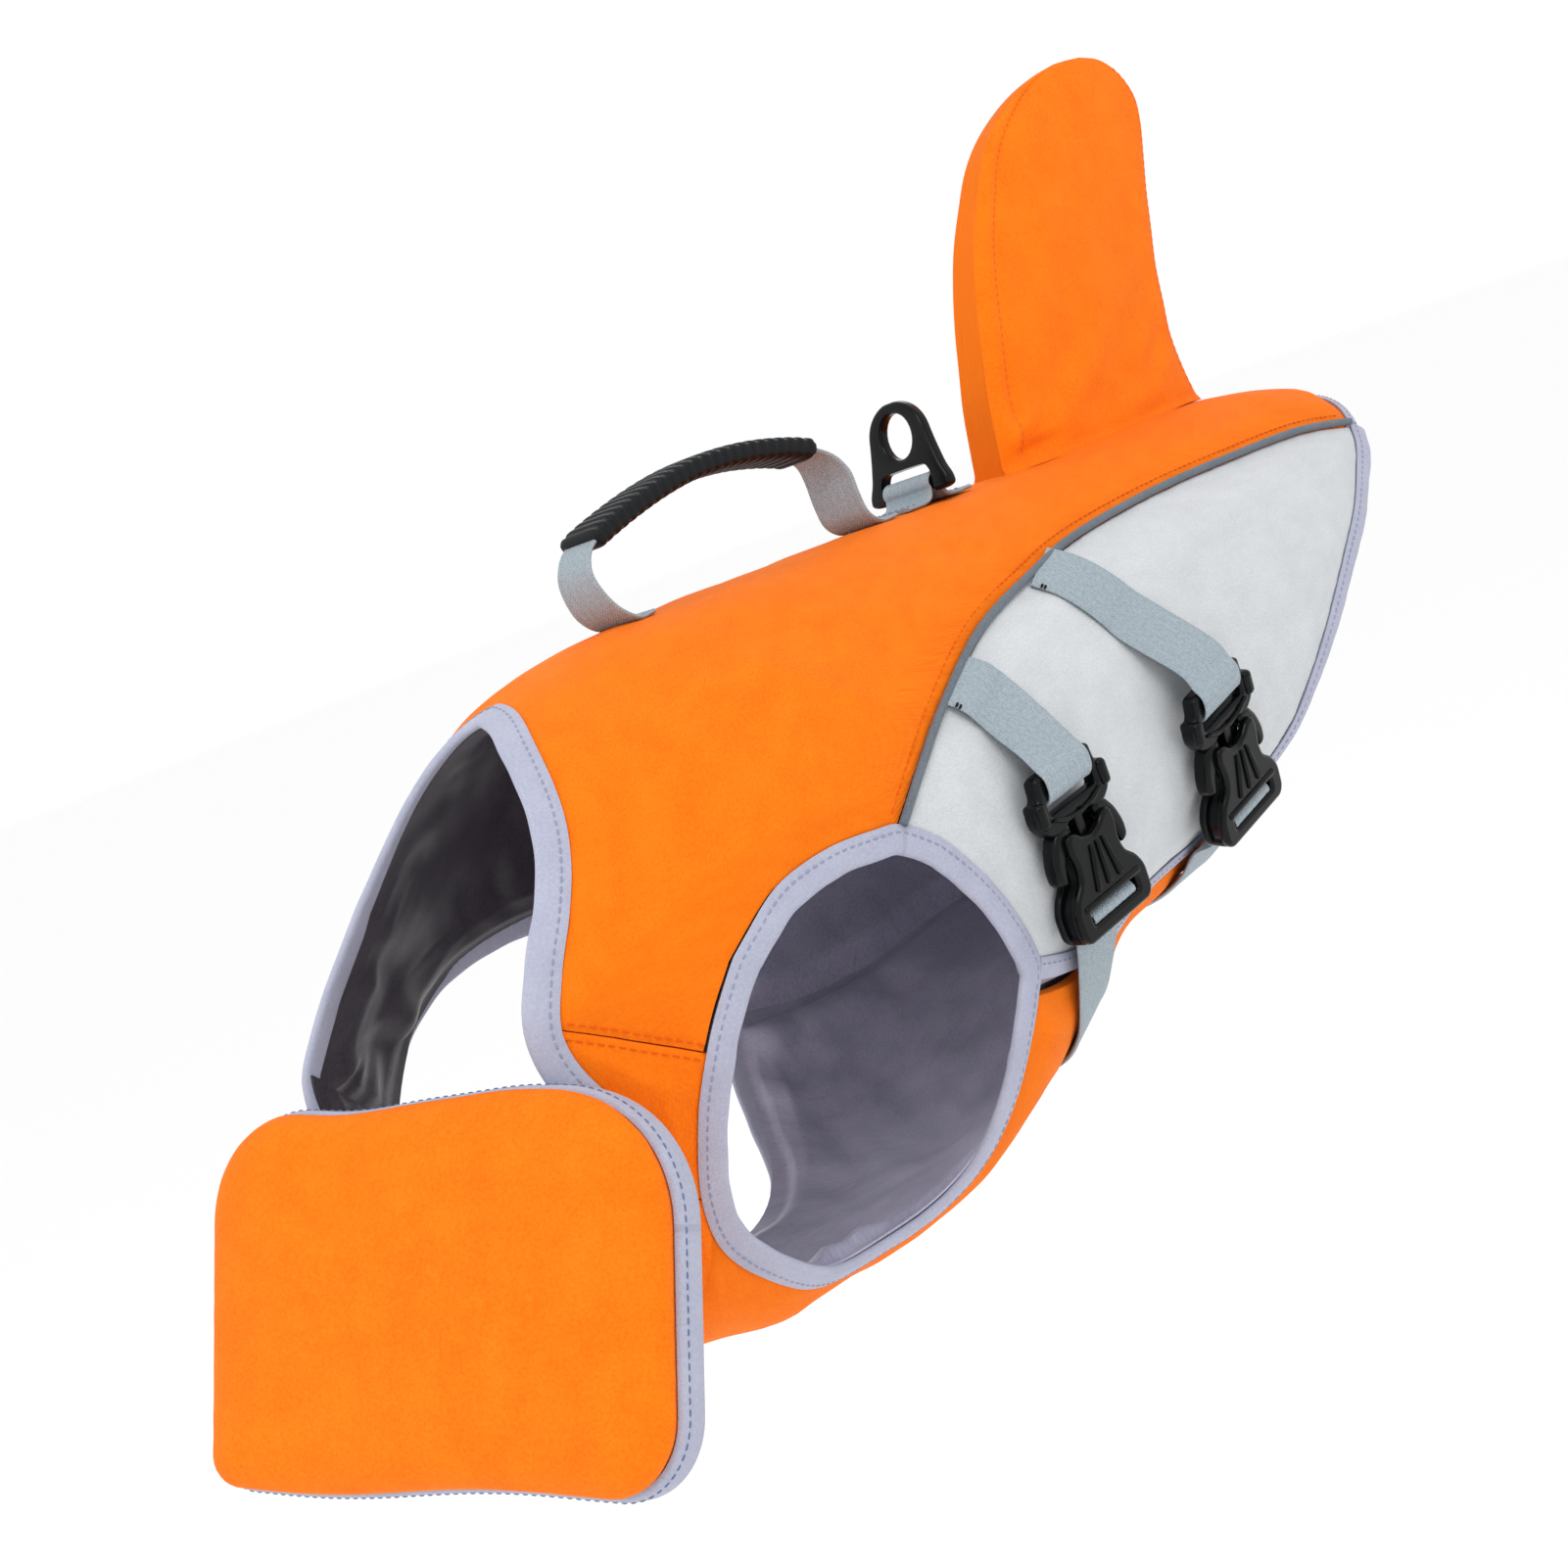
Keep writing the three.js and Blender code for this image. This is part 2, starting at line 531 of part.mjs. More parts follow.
// Two straps run from the piping down each side. On the left each one ends in a buckle.
// From there they pass under the belly and up to the piping on the right.
const STRAPS = [
  { name: "front", top: [-84, 64], bend: [-71, 80], buckle: [-68, 101], low: [-61, 129], belly: -42 },
  { name: "rear", top: [-13, 49.5], bend: [18, 87], buckle: [24, 108], low: [31, 132], belly: 38 },
];
const BUCKLE = { length: 60, thick: 11, plate: 6, standOff: 2.2 };
const place2 = ([station, angle]) => new THREE.Vector2(station, angle);

// The buckle's own frame: x across it, y down its length, z away from the body.
function buckleFrame(row) {
  const at = place2(row.buckle);
  const above = skin(...row.bend);
  const below = skin(...row.low);
  const normal = skinNormal(at.x, at.y);
  const down = below.sub(above);
  down.addScaledVector(normal, -down.dot(normal)).normalize();
  const centre = lifted(at.x, at.y, BUCKLE.standOff + BUCKLE.thick / 2);
  const across = down.clone().cross(normal).normalize();
  return new THREE.Matrix4().makeBasis(across, down, normal).setPosition(centre);
}

function toSolid(geometry) {
  const bare = geometry.clone();
  bare.deleteAttribute("normal");
  bare.deleteAttribute("uv");
  const merged = mergeVertices(bare, 1e-4);
  const mesh = new wasm.Mesh({
    numProp: 3,
    vertProperties: new Float32Array(merged.attributes.position.array),
    triVerts: new Uint32Array(merged.index.array),
  });
  return new wasm.Manifold(mesh);
}
function toGeometry(solid) {
  const mesh = solid.getMesh();
  const geometry = new THREE.BufferGeometry();
  geometry.setAttribute("position", new THREE.BufferAttribute(new Float32Array(mesh.vertProperties), 3));
  geometry.setIndex(new THREE.BufferAttribute(new Uint32Array(mesh.triVerts), 1));
  return geometry;
}
const joined = (...geometries) => toGeometry(geometries.map(toSolid).reduce((a, b) => a.add(b)));
const cut = (body, ...tools) => toGeometry(tools.map(toSolid).reduce((a, b) => a.subtract(b), toSolid(body)));

// A plate from an outline in x and y, centred on a height in z.
function plate(outline, thick, height = 0, curveSegments = 6) {
  const shape = new THREE.Shape(outline.map(([x, y]) => new THREE.Vector2(x, y)));
  const options = { depth: thick, bevelEnabled: false, curveSegments };
  const geometry = new THREE.ExtrudeGeometry(shape, options);
  return geometry.translate(0, 0, height - thick / 2);
}
function block(x, y, z, width, length, thick) {
  return new THREE.BoxGeometry(width, length, thick).translate(x, y, z);
}
const reflected = (half) => half.slice().reverse().map(([x, y]) => [-x, y]);
const bothWays = (half) => [...half, ...reflected(half)];

// The latch half: a bar frame for the webbing, a neck, and two springy arms beside a guide.
function latchGeometry() {
  const top = -BUCKLE.length / 2;
  const half = [[19, top + 2], [21, top + 5], [21, top + 15], [15, top + 21], [9, top + 22]];
  const frame = plate(bothWays(half), BUCKLE.plate);
  const slot = block(0, top + 8.5, 0, WEBBING_WIDTH + 2, 4, 8);
  const arm = (way) => plate([
    [way * 6, top + 20], [way * 12, top + 20], [way * 17, top + 28], [way * 17.5, top + 36],
    [way * 13, top + 37], [way * 12.5, top + 29], [way * 8, top + 25],
  ], 4);
  const guide = block(0, top + 28, 0, 4.4, 18, 3.6);
  return cut(joined(frame, arm(1), arm(-1), guide), slot);
}
// The socket half: a shell that the arms snap into, with a bar for the lower webbing.
function socketGeometry() {
  const top = -BUCKLE.length / 2;
  const end = BUCKLE.length / 2;
  const half = [[17, top + 24], [15.5, top + 30], [16.5, top + 39], [20, top + 46], [21, end - 3], [19, end]];
  const shell = plate(bothWays(half), BUCKLE.thick);
  const mouth = block(0, top + 31, 0, 40, 15, 4.8);
  const slot = block(0, end - 8, 0, WEBBING_WIDTH + 2, 4, BUCKLE.thick + 2);
  const ribs = [-6, 0, 6].map((x) => block(x, top + 34, BUCKLE.thick / 2, 2, 16, 1.6));
  return cut(joined(shell, ...ribs), mouth, slot);
}

for (const row of STRAPS) {
  const frame = buckleFrame(row);
  add(`buckle_latch_${row.name}`, latchGeometry().applyMatrix4(frame), BLACK_PLASTIC);
  add(`buckle_socket_${row.name}`, socketGeometry().applyMatrix4(frame), BLACK_PLASTIC);
  // The strap's end rises from the body to the underside of the buckle.
  const underside = (along, half) => {
    const point = new THREE.Vector3(0, along, -half - SEAM_GAP - WEBBING_THICK).applyMatrix4(frame);
    const normal = new THREE.Vector3(0, 0, 1).transformDirection(frame);
    return { point, normal, across: new THREE.Vector3(1, 0, 0).transformDirection(frame) };
  };
  const route = (...places) => seamCurve(places.map(([station, angle]) => ({ station, angle })));
  const upperCurve = route(row.top, row.bend, row.buckle);
  const upper = layFrames(cells(5, stretch(upperCurve, 0.02, 0.4)));
  for (const f of upper) f.across.negate();
  const head = -BUCKLE.length / 2;
  const latchEnd = [head - 4, head + 12].map((along) => underside(along, BUCKLE.plate / 2));
  add(`strap_upper_${row.name}`, strap([...upper, ...latchEnd]), WEBBING_CLOTH);
  const farTop = [row.top[0], 360 - row.top[1]];
  const farBend = [row.bend[0], 360 - row.bend[1]];
  const farLow = [row.low[0], 360 - row.low[1]];
  const belly = [row.belly, 180];
  const round = route(row.low, belly, farLow, farBend, farTop);
  const lower = layFrames(cells(22, stretch(round, 0.02, 0.985)));
  for (const f of lower) f.across.negate();
  const socketEnd = [-head - 12, -head + 2].map((along) => underside(along, BUCKLE.thick / 2));
  add(`strap_lower_${row.name}`, strap([...socketEnd, ...lower]), WEBBING_CLOTH);
}

// Chest float: a thick pad that hangs in front of the neck. Its back leans with the chest.
const FLOAT = { width: 172, height: 116, centre: [-299.4, -12.4, -162.6], lean: 24, yaw: 21 };
// Levels from the back to the front: how deep, and how far the outline stands in.
const FLOAT_LEVELS = [
  { depth: 0, inset: 3 },
  { depth: 1.5, inset: 1.4 },
  { depth: 11, inset: 1.4 },
  { depth: 12, inset: 0.6 },
  { depth: 17, inset: 1.2 },
  { depth: 21, inset: 5 },
  { depth: 24, inset: 14 },
  { depth: 25.5, inset: 32 },
];
// Corners anticlockwise seen from the front, with the radius of each.
const FLOAT_CORNERS = [
  { x: 0.5, y: 0.5, radius: 40 },
  { x: -0.5, y: 0.5, radius: 34 },
  { x: -0.5, y: -0.5, radius: 10 },
  { x: 0.5, y: -0.5, radius: 22 },
];
const FLOAT_ARC = 5;
function floatOutline(inset) {
  const points = [];
  for (const { x, y, radius } of FLOAT_CORNERS) {
    const round = Math.max(radius - inset, 2);
    const cx = Math.sign(x) * (FLOAT.width / 2 - inset - round);
    const cy = Math.sign(y) * (FLOAT.height / 2 - inset - round);
    const start = Math.atan2(y, x) - Math.PI / 4;
    for (let k = 0; k <= FLOAT_ARC; k++) {
      const a = start + (k / FLOAT_ARC) * (Math.PI / 2);
      points.push([cx + round * Math.cos(a), cy + round * Math.sin(a)]);
    }
    const next = FLOAT_CORNERS[(FLOAT_CORNERS.findIndex((c) => c.x === x && c.y === y) + 1) % 4];
    const nextRound = Math.max(next.radius - inset, 2);
    const to = [
      Math.sign(next.x) * (FLOAT.width / 2 - inset - (x === next.x ? 0 : nextRound)),
      Math.sign(next.y) * (FLOAT.height / 2 - inset - (y === next.y ? 0 : nextRound)),
    ];
    const from = points[points.length - 1];
    for (const t of [0.33, 0.67]) points.push([mix(from[0], to[0], t), mix(from[1], to[1], t)]);
  }
  return points;
}
const lean = radians(FLOAT.lean);
const yaw = radians(FLOAT.yaw);
const floatUp = new THREE.Vector3(Math.sin(lean), 0, Math.cos(lean));
const floatWide = new THREE.Vector3(Math.sin(yaw), -Math.cos(yaw), 0);
floatWide.addScaledVector(floatUp, -floatWide.dot(floatUp)).normalize();
const floatFront = floatWide.clone().cross(floatUp).normalize();
function floatPoint(x, y, depth) {
  const point = new THREE.Vector3(...FLOAT.centre);
  return point.addScaledVector(floatWide, x).addScaledVector(floatUp, y).addScaledVector(floatFront, depth);
}
add("chest_float", rod(FLOAT_LEVELS.length, (i) => {
  const { depth, inset } = FLOAT_LEVELS[i];
  return floatOutline(inset).map(([x, y]) => floatPoint(x, y, depth));
}), ORANGE_CLOTH);

// The float's tape wraps the rear of its side wall.
const FLOAT_TAPE = [
  { depth: 0.4, inset: 1.1 },
  { depth: -0.8, inset: 0.4 },
  { depth: 0.4, inset: -1.2 },
  { depth: 10, inset: -1.2 },
  { depth: 10.6, inset: 1.1 },
];
const floatRim = floatOutline(0);
add("float_binding", rod(floatRim.length, (i) => {
  return FLOAT_TAPE.map(({ depth, inset }) => {
    const [x, y] = floatOutline(inset)[i];
    return floatPoint(x, y, depth);
  });
}, true), TAPE_CLOTH);

// Fin: a stuffed upright wedge with a gusset down its front. Rows run from its foot to its tip.
const FIN_SECTIONS = [
  { height: 8.6, front: 47, rear: 176, thick: 25 },
  { height: 20, front: 49.5, rear: 173.5, thick: 25 },
  { height: 36, front: 53, rear: 172.5, thick: 24 },
  { height: 50, front: 57.5, rear: 175, thick: 23 },
  { height: 65, front: 62.5, rear: 178, thick: 22 },
  { height: 80, front: 68.5, rear: 183, thick: 20.5 },
  { height: 95, front: 76, rear: 188, thick: 19 },
  { height: 110, front: 86, rear: 194, thick: 17 },
  { height: 122, front: 95, rear: 198.5, thick: 15 },
  { height: 132, front: 106, rear: 200, thick: 12.5 },
  { height: 141, front: 121, rear: 196.5, thick: 10 },
  { height: 147, front: 135, rear: 191, thick: 7.5 },
  { height: 151, front: 149, rear: 184, thick: 5 },
  { height: 153, front: 160, rear: 175, thick: 3 },
];
// Half its thickness, as a share, from the front edge to the rear one.
const FIN_PROFILE = [
  { along: 0, half: 0.3 },
  { along: 0.05, half: 0.44 },
  { along: 0.25, half: 0.5 },
  { along: 0.55, half: 0.46 },
  { along: 0.8, half: 0.31 },
  { along: 0.95, half: 0.15 },
  { along: 1, half: 0.05 },
];
add("fin", rod(FIN_SECTIONS.length, (i) => {
  const { height, front, rear, thick } = FIN_SECTIONS[i];
  const point = ({ along, half }, way) => {
    const x = mix(front, rear, along);
    const foot = skin(x, 0).z + 3 * SEAM_GAP;
    return new THREE.Vector3(x, way * Math.max(half * thick, 0.8), i === 0 ? foot : height);
  };
  return [...FIN_PROFILE.map((p) => point(p, 1)), ...FIN_PROFILE.slice().reverse().map((p) => point(p, -1))];
}), ORANGE_CLOTH);

// A strap that stands on the back's midline: rows of station and height along its middle.
function midlineFrames(rows, count) {
  const points = rows.map(([x, z]) => new THREE.Vector3(x, 0, z));
  const curve = new THREE.CatmullRomCurve3(points, false, "centripetal");
  return Array.from({ length: count + 1 }, (_, i) => {
    const along = curve.getTangentAt(i / count);
    const across = new THREE.Vector3(0, 1, 0);
    return { point: curve.getPointAt(i / count), across, normal: along.clone().cross(across).normalize() };
  });
}
const onBack = 8 + 1.5; // height of the middle of a strap that is sewn flat to the back
const HANDLE_FRONT = [
  [-137, onBack - 0.3], [-144, onBack - 0.5], [-151, 15], [-154.5, 24.5], [-153.5, 31.5], [-148, 37.5],
];
const HANDLE_TOP = [[-134, 42.3], [-113, 47.2], [-93, 49.6], [-70, 48.6], [-48, 44.2]];
const HANDLE_REAR = [[-36, 38.8], [-31.5, 31], [-31, 22], [-29.5, 14], [-24, onBack], [-16.5, onBack]];
const HANDLE_STEPS = 56;
const handleFrames = midlineFrames([...HANDLE_FRONT, ...HANDLE_TOP, ...HANDLE_REAR], HANDLE_STEPS);
function flatBand(frames, widthAt, thick) {
  const corners = [[-1, -1], [1, -1], [1, 1], [-1, 1]];
  return rod(frames.length, (i) => {
    return corners.map(([w, h]) => inFrame(frames[i], (w * widthAt(i)) / 2, (h * thick) / 2));
  });
}
// The webbing is full width at its feet and drawn together where the grip holds it.
const GATHERED_WIDTH = 18;
function handleWidth(i) {
  const gathered = THREE.MathUtils.smoothstep(i, 2, 11) * (1 - THREE.MathUtils.smoothstep(i, 43, 48));
  return mix(WEBBING_WIDTH, GATHERED_WIDTH, gathered);
}
add("handle_strap", flatBand(handleFrames, handleWidth, WEBBING_THICK), WEBBING_CLOTH);

// The grip is a ribbed rubber sleeve round the strap.
const GRIP = { first: 12, last: 43, width: 22, thick: 6.8, rib: 0.5, clearance: SEAM_GAP };
const gripFrames = handleFrames.slice(GRIP.first, GRIP.last + 1);
const gripSection = (swell) => {
  const [w, h] = [GRIP.width / 2 + swell, GRIP.thick / 2 + swell];
  return [[-w, 0], [-w + 1.5, -h + 1.6], [-w + 5, -h], [w - 5, -h], [w - 1.5, -h + 1.6], [w, 0],
    [w - 1.5, h - 1.6], [w - 5, h], [-w + 5, h], [-w + 1.5, h - 1.6]];
};
const gripSleeve = rod(gripFrames.length, (i) => {
  const swell = i % 2 ? GRIP.rib : 0;
  return gripSection(swell).map(([w, h]) => inFrame(gripFrames[i], w, h));
});
const gripBore = flatBand(
  handleFrames.slice(GRIP.first - 1, GRIP.last + 2),
  (i) => handleWidth(i + GRIP.first - 1) + 2 * GRIP.clearance,
  WEBBING_THICK + 2 * GRIP.clearance,
);
add("handle_grip", cut(gripSleeve, gripBore), BLACK_RUBBER);

// Ring for a lead, on a webbing tab. The tab loops over the ring's bar, on which the ring turns.
const RING = { station: 7, height: 15.6, thick: 5, bar: 2.3, lean: 8 };
const LOOP = RING.bar + SEAM_GAP + 0.1 + WEBBING_THICK / 2; // radius of the middle of the tab's loop
const tabLoop = [210, 180, 150, 120, 90, 60, 30, 0, -30].map((angle) => [
  RING.station + LOOP * Math.cos(radians(angle)),
  RING.height + LOOP * Math.sin(radians(angle)),
]);
const tabRows = [
  [RING.station - 17, onBack], [RING.station - 8, onBack], [RING.station - 4.4, 10.8],
  ...tabLoop,
  [RING.station + 4.4, 10.8], [RING.station + 8, onBack], [RING.station + 17, onBack],
];
add("ring_tab", flatBand(midlineFrames(tabRows, 34), () => WEBBING_WIDTH, WEBBING_THICK), WEBBING_CLOTH);

function ringGeometry() {
  const half = [[18.5, -3.4], [21.5, -3], [21, 1], [18.5, 6], [16.5, 13], [15, 20]];
  const crown = [15, 35, 55, 75].map(radians).map((a) => [15 * Math.cos(a), 19 + 14 * Math.sin(a)]);
  const body = plate(bothWays([[14, -3.4], ...half, ...crown]), RING.thick);
  const eye = new THREE.CylinderGeometry(8, 8, 8, 16).rotateX(Math.PI / 2).translate(0, 20, 0);
  const slot = block(0, 1.6, 0, WEBBING_WIDTH + 2.4, 12, 8);
  const bar = new THREE.CylinderGeometry(RING.bar, RING.bar, 30, 10).rotateZ(Math.PI / 2);
  return joined(cut(body, eye, slot), bar);
}
// Its outline's x lies across the back and its y points up, leaning to the tail.
const ringUp = new THREE.Vector3(Math.sin(radians(RING.lean)), 0, Math.cos(radians(RING.lean)));
const ringAcross = new THREE.Vector3(0, 1, 0);
const ringFrame = new THREE.Matrix4().makeBasis(ringAcross, ringUp, ringAcross.clone().cross(ringUp));
ringFrame.setPosition(RING.station, 0, RING.height);
add("lead_ring", ringGeometry().applyMatrix4(ringFrame), BLACK_PLASTIC);

export default group;
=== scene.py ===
import math

import bpy
import numpy as np
from mathutils import Matrix, Vector


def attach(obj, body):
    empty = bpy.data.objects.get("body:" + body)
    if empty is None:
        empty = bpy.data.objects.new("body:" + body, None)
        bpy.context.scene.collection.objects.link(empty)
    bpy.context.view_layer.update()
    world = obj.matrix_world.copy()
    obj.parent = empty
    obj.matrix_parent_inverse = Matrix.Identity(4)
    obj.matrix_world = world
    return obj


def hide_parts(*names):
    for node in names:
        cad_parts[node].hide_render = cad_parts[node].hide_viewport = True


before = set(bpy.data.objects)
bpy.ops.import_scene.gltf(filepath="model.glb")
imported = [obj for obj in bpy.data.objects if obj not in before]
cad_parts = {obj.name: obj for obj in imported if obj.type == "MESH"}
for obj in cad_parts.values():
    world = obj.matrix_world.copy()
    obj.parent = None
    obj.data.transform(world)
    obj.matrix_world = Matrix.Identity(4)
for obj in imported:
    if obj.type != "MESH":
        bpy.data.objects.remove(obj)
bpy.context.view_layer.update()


# Camera. It stands a metre from the jacket, 40 degrees round from its left side to the neck and a
# little above it. It is turned about its own line of sight, so the jacket climbs across the picture.
CAMERA_PLACE = Vector((-0.7394, -0.7621, 0.038))
CAMERA_AZIMUTH = math.radians(-40)
CAMERA_HEIGHT_ANGLE = math.radians(5.85)
CAMERA_ROLL = math.radians(20)
azimuth_sine = math.sin(CAMERA_AZIMUTH)
azimuth_cosine = math.cos(CAMERA_AZIMUTH)
flat_share = math.cos(CAMERA_HEIGHT_ANGLE)
backwards = Vector((azimuth_sine * flat_share, -azimuth_cosine * flat_share, math.sin(CAMERA_HEIGHT_ANGLE)))
rightwards = Vector((azimuth_cosine, azimuth_sine, 0))
upwards = backwards.cross(rightwards)
camera_x = rightwards * math.cos(CAMERA_ROLL) - upwards * math.sin(CAMERA_ROLL)
camera_y = rightwards * math.sin(CAMERA_ROLL) + upwards * math.cos(CAMERA_ROLL)
camera_data = bpy.data.cameras.new("camera")
camera_data.sensor_width = 36
camera_data.lens = 65.9
camera = bpy.data.objects.new("camera", camera_data)
turned = Matrix((camera_x, camera_y, backwards)).transposed().to_4x4()
camera.matrix_world = Matrix.Translation(CAMERA_PLACE) @ turned
bpy.context.scene.collection.objects.link(camera)
bpy.context.scene.camera = camera
bpy.context.scene.view_settings.view_transform = "Standard"


# Light and floor. A pale room with one large soft lamp high on the camera's left and a weaker one
# behind, over a plain pale floor well below the jacket.
def soft_lamp(name, place, aim, size, power):
    data = bpy.data.lights.new(name, "AREA")
    data.shape = "DISK"
    data.size = size
    data.energy = power
    lamp = bpy.data.objects.new(name, data)
    lamp.location = place
    lamp.rotation_euler = (Vector(aim) - Vector(place)).to_track_quat("-Z", "Y").to_euler()
    bpy.context.scene.collection.objects.link(lamp)


soft_lamp("key_lamp", (-0.9, -1.3, 1.5), (0, 0, -0.05), 1.1, 15)
soft_lamp("fill_lamp", (-1.5, 0.3, 0.3), (-0.1, 0, -0.1), 1.2, 3)
soft_lamp("rim_lamp", (1.2, 1.2, 1.3), (0, 0, 0), 1.2, 5)
world = bpy.data.worlds.new("pale_room")
world.use_nodes = True
background = world.node_tree.nodes["Background"]
background.inputs["Color"].default_value = (1, 1, 1, 1)
background.inputs["Strength"].default_value = 1.0
bpy.context.scene.world = world


def plain_material(name, colour, roughness, specular=0.5):
    """A material of one colour, and its shader."""
    material = bpy.data.materials.new(name)
    material.use_nodes = True
    shader = material.node_tree.nodes["Principled BSDF"]
    shader.inputs["Base Color"].default_value = (*colour, 1)
    shader.inputs["Roughness"].default_value = roughness
    shader.inputs["Specular IOR Level"].default_value = specular
    return material, shader


FLOOR_HEIGHT = -0.75
bpy.ops.mesh.primitive_plane_add(size=60, location=(0, 0, FLOOR_HEIGHT))
floor = bpy.context.object
floor.name = "floor"
floor.data.materials.append(plain_material("pale_floor", (0.98, 0.98, 0.98), 0.9)[0])


# Back panel with both shoulders. It is an orange oxford cloth over a sheet of foam, one piece from
# the neck to the tail, sunk at its seams and a little uneven where the foam gives.
MM = 0.001  # the tables of places on the body are in millimetres
SIDES = (("left", 1), ("right", -1))  # the two flanks, and the sign of their angles
SECTIONS = {
    "station": (-320, -290, -275, -258, -240, -205, -165, -120, -76, -42, -10, 50, 110, 165, 185, 205, 230,
                260),
    "spine": (-44, -30, -23, -15, -10, 0, 7, 8, 8, 8, 8, 8, 8, 8, 6, 2, -5, -16),
    "belly": (-128, -156, -180, -202, -212, -222, -224, -222, -206, -186, -167, -156, -149, -139, -135, -130,
              -124, -118),
    "half_width": (38, 45, 53, 64, 75, 87, 91, 92, 90, 88, 86, 81, 75, 68, 64, 60, 54, 46),
    "widest": (-72, -88, -94, -96, -96, -95, -93, -90, -88, -86, -84, -78, -70, -62, -59, -56, -54, -54),
    "crown": (1.5, 1.5, 1.5, 1.5, 1.55, 1.75, 2, 2.1, 2.15, 2.15, 2.15, 2.15, 2.1, 2.1, 2.1, 2.1, 2.1, 2.1),
    "skew": (0.45, 0.45, 0.45, 0.42, 0.38, 0.28, 0.14, 0.04, 0, 0, 0, 0, 0, 0, 0, 0, 0, 0),
}
LOWER_ROUNDNESS = 2.2
FOAM = 6
LINING_TOP = 6.4  # how deep the lining's outer face lies, and below it the inner one's
LINING_BASE = 8
SEAM_GAP = 0.3
PINCH = 2.2  # how deep the seams sink the cloth, and how far from a seam it is level again
PINCH_REACH = 16
PIPING_RADIUS = 1.5
PIPED = PIPING_RADIUS + 2 * SEAM_GAP
BOUND = SEAM_GAP


def read(table, along, column, value):
    """A smooth curve through one column of a table, read at values of another column."""
    x = np.array(table[along], float)
    y = np.array(table[column], float)
    value = np.clip(value, x[0], x[-1])
    before = np.maximum(np.arange(len(x)) - 1, 0)
    after = np.minimum(np.arange(len(x)) + 1, len(x) - 1)
    slope = (y[after] - y[before]) / (x[after] - x[before])
    i = np.clip(np.searchsorted(x, value, side="left") - 1, 0, len(x) - 2)
    span = x[i + 1] - x[i]
    t = (value - x[i]) / span
    rise = t * t * (3 - 2 * t)
    leave = t * (1 - t) ** 2 * span * slope[i]
    arrive = t * t * (t - 1) * span * slope[i + 1]
    return y[i] + (y[i + 1] - y[i]) * rise + leave + arrive


def skin(place):
    """Points of the body under places, each a station and an angle: 0 spine, 90 left flank, 180 belly."""
    station = place[..., 0]
    angle = np.radians(place[..., 1])
    across = np.sin(angle)
    up = np.cos(angle)
    widest = read(SECTIONS, "station", "widest", station)
    above = read(SECTIONS, "station", "spine", station) - widest
    below = widest - read(SECTIONS, "station", "belly", station)
    crown = read(SECTIONS, "station", "crown", station)
    power = np.where(up > 0, crown, LOWER_ROUNDNESS)
    reach = (np.abs(across) ** power + np.abs(up) ** power) ** (-1 / power)
    y = -read(SECTIONS, "station", "half_width", station) * reach * across
    x = station - read(SECTIONS, "station", "skew", station) * (1 - up) * y / 2
    return np.stack([x, y, widest + np.where(up > 0, above, below) * reach * up], -1)


def unit(vectors):
    return vectors / np.maximum(np.linalg.norm(vectors, axis=-1, keepdims=True), 1e-9)


def skin_normal(place):
    along = skin(place + (1, 0)) - skin(place - (1, 0))
    round_it = skin(place + (0, 0.5)) - skin(place - (0, 0.5))
    return unit(np.cross(round_it, along))


def spline(points, t, closed=False):
    """A smooth line through points at shares t of its spans."""
    points = np.array(points, float)
    count = len(points)
    t = np.mod(t, 1) if closed else np.clip(t, 0, 1)
    spans = count if closed else count - 1
    i = np.minimum((t * spans).astype(int), spans - 1)
    w = (t * spans - i)[..., None]
    if closed:
        ends = [points[(i + k) % count] for k in (-1, 0, 1, 2)]
    else:
        padded = np.vstack([2 * points[0] - points[1], points, 2 * points[-1] - points[-2]])
        ends = [padded[i + k] for k in (0, 1, 2, 3)]
    leave = (ends[2] - ends[0]) / 2
    arrive = (ends[3] - ends[1]) / 2
    bend = -3 * ends[1] + 3 * ends[2] - 2 * leave - arrive
    last = 2 * ends[1] - 2 * ends[2] + leave + arrive
    return ends[1] + w * (leave + w * (bend + w * last))


NECK_EDGE = {
    "angle": (0, 10, 22, 45, 65, 77, 90, 100, 112, 130, 180),
    "station": (-203, -208, -217, -233, -252, -264, -273, -273, -265, -256, -252),
}
STRAP_SEAM_NECK = 91
CHEST_SEAM_NECK = 126
LEG_HOLE = (
    (-139, 83.5), (-150, 82), (-172, 80.5), (-196, 81.5), (-213, 86), (-229, 93), (-242, 102), (-250, 113),
    (-252, 127), (-244, 139), (-222, 149), (-192, 158), (-165, 160), (-138, 157), (-118, 149), (-108, 138),
    (-101, 128), (-95, 120.5), (-92, 115), (-102, 104), (-113, 96), (-126, 89),
)
LEG_STRAP = 6 / len(LEG_HOLE)  # shares of the leg hole's round, from the end of the piping
LEG_CHEST = 8 / len(LEG_HOLE)
LEG_BELLY = 17 / len(LEG_HOLE)
LEG_HEM = 18 / len(LEG_HOLE)
PIPED_SEAM = (
    (205, 53), (148, 47.5), (84, 44.5), (18, 46), (-24, 51), (-60, 57), (-95, 67), (-120, 76), (-139, 83.5),
)
TAIL_EDGE = ((227, 0), (224, 20), (216, 38), (205, 53))


def neck_place(angle):
    folded = np.where(angle > 180, 360 - angle, angle)
    return np.stack([read(NECK_EDGE, "angle", "station", folded), angle], -1)


def leg_hole(t):
    return spline(LEG_HOLE, t, closed=True)


def piped_seam(t):
    return spline(PIPED_SEAM, t)


def between(a, b, t):
    return a + (b - a) * np.asarray(t)[..., None]


def blank(t, place):
    """The same place for each t."""
    return np.zeros(np.shape(t) + (2,)) + place


